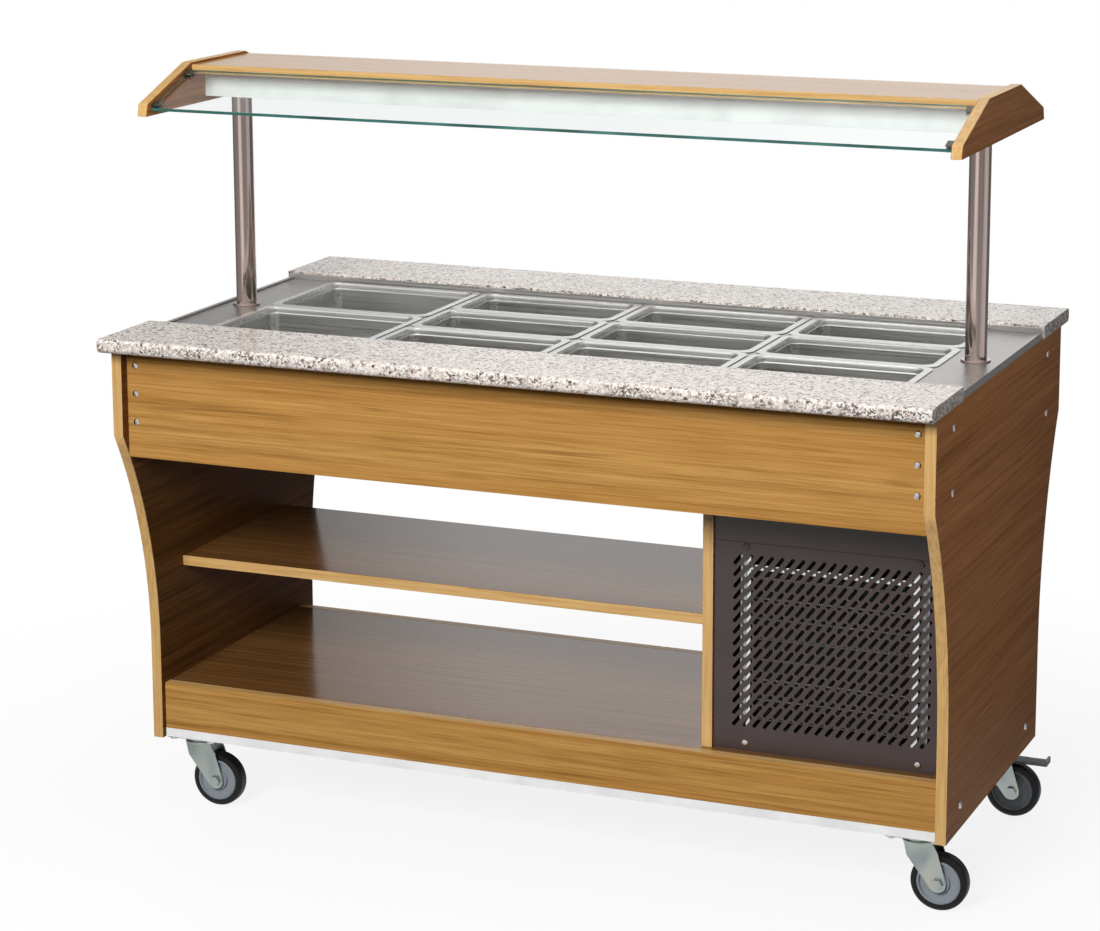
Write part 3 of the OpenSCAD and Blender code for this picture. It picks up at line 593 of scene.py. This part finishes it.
class BoardsOperator(bpy.types.Operator):
    """Laminate boards with rounded, edge-banded rims."""

    bl_idname = "salad_bar.boards"
    bl_label = "Boards"

    # node: the axis through the board's thickness, its laminate, the edge band's axis
    BOARDS = {
        "left_side_panel": (0, "y", "z"), "right_side_panel": (0, "y", "z"),
        "front_fascia": (1, "x", "x"), "rear_fascia": (1, "x", "x"),
        # the deck and shelf get the laminate with painted shade, browner and darker
        "bottom_deck": (2, "inner", "x"), "front_plinth": (1, "x", "x"), "rear_plinth": (1, "x", "x"),
        "middle_shelf": (2, "inner", "x"), "compartment_divider": (0, "y", "z"),
        "canopy_left_panel": (0, "y", "y"), "canopy_right_panel": (0, "y", "y"),
        "canopy_board": (2, "lying", "x"),
    }

    # which way a standing board looks into the open compartment, where painted shade makes the laminate
    # browner
    INWARD = {"left_side_panel": 1, "right_side_panel": -1, "compartment_divider": -1}

    def execute(self, context):
        width = context.scene.salad_bar_wood.round
        for node, (through, grain, band) in self.BOARDS.items():
            ob = ease(traced(node + "_board", node), width)
            clad(ob, "oak_" + grain, ("edge_" + band, lambda c, n, a=through: abs(n[a]) < 0.4),
                 ("oak_painted_shade_standing", lambda c, n, way=self.INWARD.get(node, 0): n.x * way > 0.9))
            dress(ob, CABINET, "oak_laminate", node)
        return {"FINISHED"}


class WorktopOperator(bpy.types.Operator):
    """Granite worktops with a rounded outer edge and sawn arrises."""

    bl_idname = "salad_bar.worktop"
    bl_label = "Granite worktops"

    def execute(self, context):
        for node in ("front_worktop", "rear_worktop"):
            ob = ease(traced(node + "_slab", node), context.scene.salad_bar_stone.arris, 3, 40)
            clad(ob, "granite", ("granite_edge", lambda c, n: n.z < 0.5))
            dress(ob, CABINET, "granite", node)
        return {"FINISHED"}


class WellOperator(bpy.types.Operator):
    """Folded steel well, its cross bars and its foam."""

    bl_idname = "salad_bar.well"
    bl_label = "Cold well"

    def execute(self, context):
        piece("well_sheets", "well_tank", "deck", "stainless_steel", 0.3 * MM, 1, 50)
        piece("pan_bars_folded", "pan_bars", "deck", "stainless_steel", 0.5 * MM, 2, 50)
        paint("foam", "well_insulation")
        return {"FINISHED"}


class PansOperator(bpy.types.Operator):
    """Deep-drawn food pans with a rolled rim, rounded walls and a dished floor."""

    bl_idname = "salad_bar.pans"
    bl_label = "Pans"

    # columns in pitches from the middle; width, and distance of a row from the middle, in mm
    COLUMNS = {"half": -1.5, "b": -0.5, "c": 0.5, "d": 1.5}
    ROWS = {"front": -1, "middle": 0, "rear": 1}
    HALF_SIZE = (264, 132.5)
    THIRD_SIZE = (176, 177)
    PITCH = 330 * MM
    LENGTH = 325 * MM
    # the rim: how far its inner edge lies over the well's ledge, its outer edge below that, and its roll
    RIM_RISE = 2.2 * MM
    RIM_DROP = 0.6 * MM
    RIM_ROLL = 1.0 * MM
    RIM_CORNER = 19 * MM
    SHEET = 0.9 * MM
    # mm of the depth that are kept for the shoulder, the step and the rounded floor
    FORMED = 27

    def outline(self, name, centre, length, width, radius, z):
        """A flat face with rounded corners."""
        clear_selection()
        bpy.ops.mesh.primitive_plane_add(size=1, location=(centre[0], centre[1], z))
        ob = named(name)
        ob.scale = (length, width, 1)
        bpy.ops.object.transform_apply()
        mode("EDIT")
        bpy.ops.mesh.select_mode(type="VERT")
        bpy.ops.mesh.select_all(action="SELECT")
        bpy.ops.mesh.bevel(affect="VERTICES", offset=radius, segments=7)
        mode("OBJECT")
        return ob

    def pan(self, name, centre, width, form):
        """One pan in its place in the well: the drawn body, the flat rim and the thickness of the sheet."""
        top = WELL_TOP + self.RIM_RISE
        low = top - self.RIM_DROP
        around = 2 * form.rim
        rim = self.outline(name, centre, self.LENGTH, width, self.RIM_CORNER, low)
        mouth = self.outline("mouth", centre, self.LENGTH - around, width - around, form.corner, top)
        # the drawn body, ring by ring: soft shoulder, step for stacking, drafted walls and rounded floor
        only(mouth)
        mode("EDIT")
        bpy.ops.mesh.select_mode(type="FACE")
        bpy.ops.mesh.select_all(action="SELECT")
        wall = form.depth / MM - self.FORMED
        for inward, down in ((1.0, 0.4), (0.9, 1.3), (0.4, 2.4), (0.3, 6.0), (1.1, 1.2), (0.2, 1.2),
                             (2.0, wall), (1.2, 4.2), (2.6, 3.6), (4.2, 2.2), (6.0, 0.8)):
            bpy.ops.mesh.inset(thickness=inward * MM, depth=-down * MM, use_even_offset=True)
        mode("OBJECT")
        # the flat rim bridges both outlines, and its outer edge is rolled down
        pick(rim, lambda c, n: True)
        bpy.ops.mesh.delete(type="ONLY_FACE")
        ob = joined(name, [rim, mouth])
        pick(ob, lambda c, d: min(abs(c.z - top), abs(c.z - low)) < 1e-6, "EDGE")
        bpy.ops.mesh.bridge_edge_loops()
        mode("OBJECT")
        pick(ob, lambda c, d: abs(c.z - low) < 1e-6, "EDGE")
        extrude((0, 0, -self.RIM_ROLL))
        bpy.ops.mesh.select_all(action="SELECT")
        bpy.ops.mesh.normals_make_consistent(inside=False)
        mode("OBJECT")
        # the floor looks up into the pan, so that the sheet's thickness goes below it
        floor = min(ob.data.polygons, key=lambda f: f.center.z)
        if floor.normal.z < 0:
            pick(ob, lambda c, n: True)
            bpy.ops.mesh.flip_normals()
            mode("OBJECT")
        modify(ob, "SOLIDIFY", thickness=self.SHEET, offset=-1)
        return ease(ob, 0.3 * MM, 2, 50)

    def execute(self, context):
        form = context.scene.salad_bar_pans
        for node in sorted(frame["nodes"]):
            words = node.split("_")
            if words[0] != "pan" or node == "pan_bars":
                continue
            width, away = self.HALF_SIZE if words[1] == "half" else self.THIRD_SIZE
            x = self.COLUMNS[words[1]] * self.PITCH + SHIFT
            y = self.ROWS[words[2]] * away * MM
            ob = self.pan(node + "_drawn", (x, y), width * MM, form)
            clad(ob, "pan")
            dress(ob, node + "_body", "stainless_steel", node)
        return {"FINISHED"}


class CanopyOperator(bpy.types.Operator):
    """Light housing, diffuser, posts and their collars."""

    bl_idname = "salad_bar.canopy"
    bl_label = "Light, posts and sockets"

    def execute(self, context):
        piece("light_housing_pressing", "light_housing", "enamel", "white_enamel", 1.0 * MM, 2, 50)
        piece("light_diffuser", "light_lens", "opal", "opal_plastic", 0.6 * MM)
        for side in ("left", "right"):
            piece(side + "_post_tube", side + "_post", "tube", "stainless_steel")
        piece("post_collars", "post_sockets", "tube", "stainless_steel", 0.8 * MM, 3, 50)
        return {"FINISHED"}


class GlassOperator(bpy.types.Operator):
    """Sloping glass guards with ground green edges, and their clips."""

    bl_idname = "salad_bar.glass"
    bl_label = "Glass guards"

    def execute(self, context):
        for node in ("front_glass", "rear_glass"):
            ob = traced(node + "_pane", node)
            normal = max(ob.data.polygons, key=lambda f: f.area).normal.copy()
            ease(ob, 0.7 * MM)
            clad(ob, "glass", ("glass_edge", lambda c, n: abs(n.dot(normal)) < 0.9))
            dress(ob, CABINET, "clear_glass", node)
        piece("glass_clips_milled", "glass_clips", "clip", "stainless_steel", 0.8 * MM, 2, 50)
        return {"FINISHED"}


class CoolingOperator(bpy.types.Operator):
    """Cooling unit behind the grilles: finned condenser, pipes, shroud, fan and compressor."""

    bl_idname = "salad_bar.cooling"
    bl_label = "Cooling unit"

    # the fin pack's corners, as in the CAD model
    LOW = Vector((382 * MM + SHIFT, -234 * MM, 276 * MM))
    HIGH = Vector((672 * MM + SHIFT, -186 * MM, 584 * MM))
    FINS = 92
    FIN_LIP = 0.9 * MM
    TUBES = 8
    TUBE_RADIUS = 2.6 * MM
    LOWEST_TUBE = 289
    TUBE_PITCH = 36
    # front and back of the lips, which show just behind the slots; left and right lip; height of the rail
    FRONT = -251.5 * MM
    BACK = -250.3 * MM
    LIPS = (5.5 * MM, 10.5 * MM)
    RAIL = (559 * MM, 568 * MM)

    def pipes(self, low, high):
        """Return bends and pipe runs, taken from the CAD pack without its block."""
        ob = traced("condenser_pipes", "condenser")
        mesh = ob.data
        near = 1e-5
        inside = {v.index for v in mesh.vertices
                  if all(a - near <= c <= b + near for a, c, b in zip(low, v.co, high))}
        pick(ob, lambda c, n: False)
        mode("OBJECT")
        for face in mesh.polygons:
            face.select = inside.issuperset(face.vertices)
        mode("EDIT")
        bpy.ops.mesh.delete(type="FACE")
        # the pipes' cut ends are closed again
        bpy.ops.mesh.select_all(action="SELECT")
        bpy.ops.mesh.fill_holes(sides=0)
        bpy.ops.mesh.normals_make_consistent(inside=False)
        mode("OBJECT")
        ease(ob, 0)
        clad(ob, "pipe")
        dress(ob, CABINET, "condenser_aluminium")

    def fins(self, low, high):
        """One fin with a folded-over lip, then a row of them along the pack."""
        ob = block("condenser_fins", (low.x + 1 * MM, low.y, low.z), (low.x + 1.5 * MM, high.y, high.z))
        pick(ob, lambda c, n: n.y < -0.9)
        extrude((self.FIN_LIP, 0, 0))
        mode("OBJECT")
        step = (high.x - low.x - 2 * MM) / self.FINS
        modify(ob, "ARRAY", count=self.FINS, use_relative_offset=False, use_constant_offset=True,
               constant_offset_displace=(step, 0, 0))
        clad(ob, "fins")
        dress(ob, CABINET, "condenser_aluminium", "condenser")

    def tubes(self, low, high):
        """Tubes that run through the fins and show between them as bright lines."""
        row = []
        for i in range(self.TUBES):
            z = (self.LOWEST_TUBE + self.TUBE_PITCH * i) * MM
            at = ((low.x + high.x) / 2, low.y + self.TUBE_RADIUS, z)
            row.append(drum("tube", self.TUBE_RADIUS, high.x - low.x - 2 * MM, 14, at, (0, math.pi / 2, 0)))
        ob = ease(joined("condenser_tubes", row), 0)
        clad(ob, "galvanised")
        dress(ob, CABINET, "condenser_aluminium")

    def plates(self, low, high):
        """White end plates with a lip to the right, and a top rail."""
        front, back, half = self.FRONT, self.BACK, 0.6 * MM
        parts = []
        for x, lip in zip((low.x - half, high.x + half), self.LIPS):
            plate = block("end_plate", (x - half, back, low.z), (x + half, high.y + 1 * MM, high.z))
            pick(plate, lambda c, n: n.y < -0.9)
            extrude((0, front - back, 0))
            mode("OBJECT")
            pick(plate, lambda c, n: n.x > 0.9 and c.y < back)
            extrude((lip, 0, 0))
            mode("OBJECT")
            parts.append(plate)
        under, over = self.RAIL
        rail = block("top_rail", (low.x + 5.2 * MM, front, under), (high.x - 0.1 * MM, back, over))
        pick(rail, lambda c, n: n.y < -0.9)
        bpy.ops.mesh.inset(thickness=2 * MM, depth=0)
        bpy.ops.transform.translate(value=(0, -0.4 * MM, 0))
        mode("OBJECT")
        parts.append(rail)
        ob = ease(joined("condenser_end_plates", parts), 0.3 * MM)
        clad(ob, "enamel")
        dress(ob, CABINET, "condenser_aluminium")

    def execute(self, context):
        for step in (self.pipes, self.fins, self.tubes, self.plates):
            step(self.LOW, self.HIGH)
        piece("unit_shroud", "unit_frame", "galvanised", "zinc_plate", 0.4 * MM, 1, 50)
        piece("compressor_pot", "compressor", "black_paint", "black_steel", 1.0 * MM, 2, 50)
        paint("black_paint", "fan_motor")
        paint("dark_plastic", "fan_blade")
        return {"FINISHED"}


class GrilleOperator(bpy.types.Operator):
    """Powder-coated compartment sheets with their slots."""

    bl_idname = "salad_bar.grille"
    bl_label = "Grilles"

    def execute(self, context):
        paint("grille", "grille_frame", "front_grille", "rear_grille")
        return {"FINISHED"}


class ControlsOperator(bpy.types.Operator):
    """Thermostat, main switch and cable gland on the rear grille."""

    bl_idname = "salad_bar.controls"
    bl_label = "Controls"

    # mm from the housing's lower left corner: the window's sides, its margin, the first key, the keys' pitch
    WINDOW = (8, 48)
    MARGIN = 7
    FIRST_KEY = (57, 12.5)
    KEY_PITCH = (12, 11)
    # half of a key's width and height
    KEY_HALF = (4.5 * MM, 3.5 * MM)

    def execute(self, context):
        piece("control_housings", "control_module", "black_plastic", "black_plastic", 0.9 * MM, 3, 50)
        low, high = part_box("control_module")
        face = high.y
        # smoked window, sunk into a thin frame
        left, right = (low.x + x * MM for x in self.WINDOW)
        margin = self.MARGIN * MM
        window = block("thermostat_window", (left, face - 0.5 * MM, low.z + margin),
                       (right, face + 0.6 * MM, high.z - margin))
        pick(window, lambda c, n: n.y > 0.9)
        inset(((1.2, 0.0), (0.5, -0.5)))
        ease(window, 0.25 * MM)
        clad(window, "display")
        dress(window, CABINET, "black_plastic")
        # two by two keys, each with a sunk middle
        keys = []
        wide, tall = self.KEY_HALF
        for i in range(2):
            for j in range(2):
                x = low.x + (self.FIRST_KEY[0] + self.KEY_PITCH[0] * i) * MM
                z = low.z + (self.FIRST_KEY[1] + self.KEY_PITCH[1] * j) * MM
                key = block("key", (x - wide, face - 0.5 * MM, z - tall),
                            (x + wide, face + 0.5 * MM, z + tall))
                pick(key, lambda c, n: n.y > 0.9)
                inset(((0.8, 0.25), (1.6, -0.2)))
                keys.append(key)
        ob = ease(joined("thermostat_keys", keys), 0.2 * MM)
        clad(ob, "key")
        dress(ob, CABINET, "black_plastic")
        piece("switch_rocker", "power_rocker", "green", "green_plastic", 0.7 * MM, 3, body="switch")
        piece("cable_gland", "power_inlet", "black_plastic", "black_plastic", 0.6 * MM)
        return {"FINISHED"}


class ScrewsOperator(bpy.types.Operator):
    """Domed screw heads with a hexagon socket and a washer rim, and the caster bolts."""

    bl_idname = "salad_bar.screws"
    bl_label = "Screws"

    # places in mm: y and z on a side board, z on a fascia, x and z on the front grille
    SIDE = ((-315, 851), (-315, 742), (315, 851), (315, 742), (-223, 179), (223, 179))
    FASCIA = (855, 804, 753)
    GRILLE = ((381, 600), (687, 600), (381, 252), (687, 252))
    # mm from the cabinet's middle: side boards, screw columns, the faces of the fascias and grilles
    SIDE_X = 752
    COLUMN_X = 716
    FASCIA_Y = 396
    GRILLE_FRONT = -257
    GRILLE_BACK = 241.5
    # the rear grille is taller, so its upper screws, those over 400 mm, sit higher
    UPPER = 400
    REAR_RISE = 66
    # bolts of a caster plate: mm from the swivel axis, and the height that they hang from
    BOLT = (38, 30)
    BOLT_Z = 132

    def head(self):
        """One dome head, pointing up, its underside at the origin."""
        ob = drum("head", 6.2 * MM, 0.8 * MM, 28, (0, 0, 0.4 * MM))
        pick(ob, lambda c, n: n.z > 0.9)
        inset(((0.25, 0.45), (0.55, 0.65), (0.9, 0.55), (1.3, 0.4), (1.5, 0.15)))
        key = drum("socket", 1.9 * MM, 3 * MM, 6, (0, 0, 3.2 * MM))
        modify(ob, "BOOLEAN", operation="DIFFERENCE", object=key, solver="EXACT")
        remove(key)
        return ease(ob, 0)

    def bolt(self):
        """One hexagon bolt head with a chamfered top, pointing up."""
        ob = drum("bolt", 7.5 * MM, 5.5 * MM, 6, (0, 0, 2.75 * MM))
        pick(ob, lambda c, n: n.z > 0.9)
        inset(((0.9, 0.0),))
        return ease(ob, 0.5 * MM)

    def copies(self, ob, places):
        """Copies of a head, placed (mm from the cabinet's middle) and turned; the head itself goes."""
        made = []
        for (x, y, z), turn in places:
            place = Matrix.Translation((x * MM + SHIFT, y * MM, z * MM))
            made.append(again(ob, place @ Euler(turn).to_matrix().to_4x4()))
        remove(ob)
        return made

    def execute(self, context):
        quarter = math.pi / 2
        heads, bolts = [], []
        for s in (-1, 1):
            for y, z in self.SIDE:
                heads.append(((s * self.SIDE_X, y, z), (0, s * quarter, 0)))
            for x in (-self.COLUMN_X, self.COLUMN_X):
                for z in self.FASCIA:
                    heads.append(((x, s * self.FASCIA_Y, z), (-s * quarter, 0, 0)))
        for x, z in self.GRILLE:
            heads.append(((x, self.GRILLE_FRONT, z), (quarter, 0, 0)))
            rise = self.REAR_RISE if z > self.UPPER else 0
            heads.append(((x, self.GRILLE_BACK, z + rise), (-quarter, 0, 0)))
        for sx in (-1, 1):
            for sy in (-1, 1):
                for i in (-self.BOLT[0], self.BOLT[0]):
                    for j in (-self.BOLT[1], self.BOLT[1]):
                        bolts.append(((sx * CASTER_X + i, sy * CASTER_Y + j, self.BOLT_Z), (math.pi, 0, 0)))
        made = self.copies(self.head(), heads) + self.copies(self.bolt(), bolts)
        ob = ease(joined("screw_heads", made), 0)
        # the front grille's two upper screws, just under the fascia, take the grille's dark brown finish
        y, z = self.GRILLE_FRONT * MM, self.GRILLE[0][1] * MM
        clad(ob, "fastener", ("grille", lambda c, n: abs(c.y - y) < 8 * MM and abs(c.z - z) < 10 * MM))
        dress(ob, CABINET, "stainless_steel", "screws")
        return {"FINISHED"}


class RailOperator(bpy.types.Operator):
    """Bright rail under the plinths, with its cross members."""

    bl_idname = "salad_bar.rail"
    bl_label = "Base rail"

    def execute(self, context):
        piece("base_rail_frame", "base_rails", "rail", "bright_rail", 1.2 * MM, 3, 50)
        return {"FINISHED"}


class CastersOperator(bpy.types.Operator):
    """Pressed caster plates and forks, wheels with tyre and disc, and brake pedals."""

    bl_idname = "salad_bar.casters"
    bl_label = "Casters"

    # mm: the wheel, how far it stands to the right of its swivel axis, and where the tyre meets the disc
    RADIUS = 50
    WIDTH = 28
    TRAIL = 40
    TYRE_SEAT = 38.2
    # mm inward and outward for each ring of a wheel's side, from the tyre to the hub
    RINGS = ((11.2, 0.0), (0.5, -1.4), (1.2, 0.0), (0.4, 1.0), (2.6, 0.0), (1.6, -4.2),
             (12.0, 0.0), (1.2, 4.4), (4.5, 0.0), (0.6, 2.2))
    # a pedal's ribs: how many, mm from the tip to the first, pitch, half their length, underside and top
    RIBS = 4
    FIRST_RIB = 12
    RIB_PITCH = 5
    RIB_HALF = 12 * MM
    RIB_Z = (108.3 * MM, 109.6 * MM)
    TIP = 30 * MM

    def wheel(self, name, centre):
        """Grey disc with a raised hub in a black tyre with rounded shoulders."""
        def from_axle(place):
            return ((place - Vector(centre)) * Vector((1, 0, 1))).length

        ob = drum(name, self.RADIUS * MM, self.WIDTH * MM, 72, centre, (math.pi / 2, 0, 0))
        pick(ob, lambda c, n: abs(n.y) > 0.9)
        inset(self.RINGS)
        pick(ob, lambda c, d: from_axle(c) > (self.RADIUS - 1) * MM and abs(d.y) < 0.1, "EDGE")
        bpy.ops.mesh.bevel(offset=7.5 * MM, segments=6, profile=0.5, affect="EDGES")
        mode("OBJECT")
        ease(ob, 0.3 * MM, 2, 35)
        clad(ob, "disc", ("rubber", lambda c, n: from_axle(c) > self.TYRE_SEAT * MM))
        return ob

    def pedal(self, name, node):
        """A moulded pedal with ribs across its grey tip."""
        low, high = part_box(node)
        middle = (low.y + high.y) / 2
        parts = [ease(traced(name, node), 1.0 * MM, 3, 40)]
        for i in range(self.RIBS):
            x = high.x - (self.FIRST_RIB + self.RIB_PITCH * i) * MM
            rib = block("rib", (x, middle - self.RIB_HALF, self.RIB_Z[0]),
                        (x + 2 * MM, middle + self.RIB_HALF, self.RIB_Z[1]))
            parts.append(ease(rib, 0.5 * MM))
        ob = joined(name, parts)
        clad(ob, "pedal", ("pedal_tip", lambda c, n: c.x > high.x - self.TIP))
        return ob

    def execute(self, context):
        piece("caster_plates_pressed", "caster_plates", "zinc", "zinc_plate", 0.8 * MM, 2, 50)
        for corner, sx, sy in (("front_left", -1, -1), ("front_right", 1, -1),
                               ("rear_left", -1, 1), ("rear_right", 1, 1)):
            piece("fork_pressing_" + corner, "fork_" + corner, "zinc", "zinc_plate", 0.9 * MM, 3, 40,
                  "swivel_" + corner)
            centre = ((sx * CASTER_X + self.TRAIL) * MM + SHIFT, sy * CASTER_Y * MM, self.RADIUS * MM)
            ob = self.wheel("tyre_and_disc_" + corner, centre)
            dress(ob, "roller_" + corner, "tyre_rubber", "wheel_" + corner)
        for side in ("left", "right"):
            ob = self.pedal("pedal_moulding_" + side, "brake_pedal_" + side)
            dress(ob, "pedal_" + side, "pedal_steel", "brake_pedal_" + side)
        return {"FINISHED"}


class StageOperator(bpy.types.Operator):
    """Pale floor, soft light and the camera."""

    bl_idname = "salad_bar.stage"
    bl_label = "Stage"

    # how bright the mirrored walls are in front and behind
    GREYS = (0.26, 0.12)
    # white walls: the way to the middle, the cosines where a wall starts and is full, how white it is
    WALLS = (
        ((-0.139, 0.990, 0), 0.925, 0.962, 0.97),
        ((-0.225, -0.974, 0), 0.900, 0.985, 0.97),
        ((0.996, -0.087, 0), 0.860, 0.950, 0.60),
    )
    # the ways to the white ceiling's middle and to the white sweep behind the cart
    CEILING = (0, -0.71, 0.71)
    SWEEP = (-0.42, 0.91, 0)
    # name, place, spot that it points at, width and height, share of the key light's power
    LIGHTS = (
        ("key_softbox", (-0.2, -5.0, 3.3), (0.3, 0, 0.7), (2.4, 2.0), 1.0),
        ("side_softbox", (2.0, -0.4, 1.1), (0.75, -0.2, 0.9), (1.0, 1.0), 0.0135),
        ("rear_softbox", (-3.0, 3.6, 2.2), (0, 0.3, 0.7), (2.4, 2.0), 0.22),
        ("top_softbox", (0.2, -0.2, 4.6), (0, 0, 0.9), (3.0, 1.8), 0.19),
    )
    # the camera's place, its yaw, pitch and roll in degrees, and the shift of its frame
    CAMERA_AT = (2.0224, -5.0914, 1.9917)
    CAMERA_TURN = (22.6404, 11.3126, -0.1906)
    CAMERA_SHIFT = (-0.00116, -0.12117)

    def walls(self, tree, outward):
        """How bright a direction is when mirrored: grey walls with three white ones."""
        heading = add(tree, "VectorMath", {0: outward, 1: (1, 1, 0)}, operation="MULTIPLY").outputs[0]
        heading = add(tree, "VectorMath", {0: heading}, operation="NORMALIZE").outputs[0]
        back = add(tree, "SeparateXYZ", {0: heading}).outputs["Y"]
        level = between(tree, back, -0.2, 0.3, *self.GREYS)
        for middle, start, full, white in self.WALLS:
            wall = between(tree, cosine(tree, heading, middle), start, full, 0.0, white)
            level = calc(tree, "MAXIMUM", level, wall)
        return level

    def sight(self, tree, level):
        """1 for what the camera sees, also through glass; level for what shiny pieces mirror; else 0."""
        path = add(tree, "LightPath").outputs
        seen = calc(tree, "MAXIMUM", path["Is Camera Ray"], path["Is Transmission Ray"])
        mirrored = calc(tree, "MULTIPLY", path["Is Glossy Ray"], level)
        return calc(tree, "MAXIMUM", seen, mirrored)

    def floor(self):
        """A wide floor, white to the eye, dimmer as a source of light, with the cart's soft shadow."""
        clear_selection()
        bpy.ops.mesh.primitive_circle_add(vertices=96, radius=60, fill_type="NGON", location=(0, 0, 0))
        ob = named("studio_floor")
        made, tree, shader = blank("matt_white_floor_vinyl", Roughness=0.9)
        place = add(tree, "TexCoord").outputs["Object"]
        distance = add(tree, "VectorMath", {0: place}, operation="LENGTH").outputs["Value"]
        outward = add(tree, "VectorMath", {0: place}, operation="NORMALIZE").outputs[0]
        # shiny pieces mirror a white floor under the cart, and further off one as bright as the walls
        near = between(tree, distance, 0.85, 1.3, 1.0, 0.0)
        seen = self.sight(tree, calc(tree, "MAXIMUM", near, self.walls(tree, outward)))
        wire(tree, shader, blend(tree, seen, linear("#383838"), linear("#F8F8F8")))
        # away from the cart the shaded floor gives way to pure white
        fade = between(tree, distance, 0.7, 1.9, 0.86, 1.0, "SMOOTHSTEP")
        white = add(tree, "Emission", {"Color": linear("#FFFFFF"), "Strength": 1.0})
        overlay(tree, shader, calc(tree, "MULTIPLY", fade, seen), white)
        ob.data.materials.append(made)

    def world(self, strength):
        """White surroundings that light the cart only weakly."""
        made = bpy.data.worlds.new("studio")
        bpy.context.scene.world = made
        made.use_nodes = True
        tree = made.node_tree
        tree.nodes.clear()
        outward = add(tree, "TexCoord").outputs["Generated"]
        height = add(tree, "SeparateXYZ", {0: outward}).outputs["Z"]
        # the white ceiling leans to the front, so the canopy's front glass doesn't mirror it
        above = between(tree, cosine(tree, outward, self.CEILING), 0.3, 0.6, 0.0, 0.95)
        level = calc(tree, "MAXIMUM", above, self.walls(tree, outward))
        # just over the horizon the white wall behind the cart is wider, and the canopy's roof mirrors it
        behind = between(tree, cosine(tree, outward, self.SWEEP), 0.80, 0.93, 0.0, 1.0)
        low = between(tree, height, 0.15, 0.19, 0.97, 0.0)
        level = calc(tree, "MAXIMUM", level, calc(tree, "MULTIPLY", behind, low))
        seen = self.sight(tree, level)
        light = add(tree, "Background", {"Color": linear("#FFFFFF"), "Strength": strength})
        white = add(tree, "Background", {"Color": linear("#FFFFFF"), "Strength": 1.0})
        mixed = add(tree, "MixShader", {0: seen, 1: light.outputs[0], 2: white.outputs[0]})
        add(tree, "OutputWorld", {"Surface": mixed.outputs[0]})

    def softbox(self, name, at, aim, size, power):
        """A rectangular area light that points at a spot, hidden from shiny pieces."""
        bpy.ops.object.light_add(type="AREA", location=at)
        lamp = bpy.context.object
        lamp.name = name
        lamp.rotation_euler = (Vector(aim) - Vector(at)).to_track_quat("-Z", "Y").to_euler()
        lamp.data.shape = "RECTANGLE"
        lamp.data.size, lamp.data.size_y = size
        lamp.data.energy = power
        lamp.visible_glossy = False

    def camera(self, lens):
        """The camera, in the place and with the lens that the photo gives."""
        bpy.ops.object.camera_add()
        camera = bpy.context.object
        camera.name = "photo_camera"
        camera.data.sensor_width = 36
        camera.data.lens = lens
        camera.data.shift_x, camera.data.shift_y = self.CAMERA_SHIFT
        camera.location = self.CAMERA_AT
        yaw, pitch, roll = (math.radians(v) for v in self.CAMERA_TURN)
        upright = Matrix.Rotation(yaw, 4, "Z") @ Matrix.Rotation(math.pi / 2 - pitch, 4, "X")
        camera.rotation_euler = (upright @ Matrix.Rotation(roll, 4, "Z")).to_euler()
        bpy.context.scene.camera = camera

    def execute(self, context):
        stage = context.scene.salad_bar_stage
        self.floor()
        self.world(stage.fill)
        for name, at, aim, size, share in self.LIGHTS:
            self.softbox(name, at, aim, size, stage.key * share)
        self.camera(stage.lens)
        context.scene.view_settings.view_transform = "Standard"
        return {"FINISHED"}


# ---- panel and start

STEPS = (StageOperator, BoardsOperator, WorktopOperator, WellOperator, PansOperator, CanopyOperator,
         GlassOperator, CoolingOperator, GrilleOperator, ControlsOperator, ScrewsOperator, RailOperator,
         CastersOperator)
SETTINGS = {"salad_bar_wood": SaladBarWood, "salad_bar_stone": SaladBarStone, "salad_bar_pans": SaladBarPans,
            "salad_bar_stage": SaladBarStage}


class SaladBarPanel(bpy.types.Panel):
    """Steps and settings of the salad bar."""

    bl_idname = "VIEW3D_PT_salad_bar"
    bl_label = "Salad bar"
    bl_space_type = "VIEW_3D"
    bl_region_type = "UI"
    bl_category = "Salad bar"

    def draw(self, context):
        for step in STEPS:
            self.layout.operator(step.bl_idname)
        for key, group in SETTINGS.items():
            for name in group.__annotations__:
                self.layout.prop(getattr(context.scene, key), name)


def register():
    for cls in (*SETTINGS.values(), *STEPS, SaladBarPanel):
        bpy.utils.register_class(cls)
    for key, group in SETTINGS.items():
        setattr(bpy.types.Scene, key, bpy.props.PointerProperty(type=group))


def unregister():
    for key in SETTINGS:
        delattr(bpy.types.Scene, key)
    for cls in reversed((*SETTINGS.values(), *STEPS, SaladBarPanel)):
        bpy.utils.unregister_class(cls)


def main():
    register()
    for step in STEPS:
        group, name = step.bl_idname.split(".")
        getattr(getattr(bpy.ops, group), name)()
    bpy.context.view_layer.update()


if __name__ == "__main__":
    main()
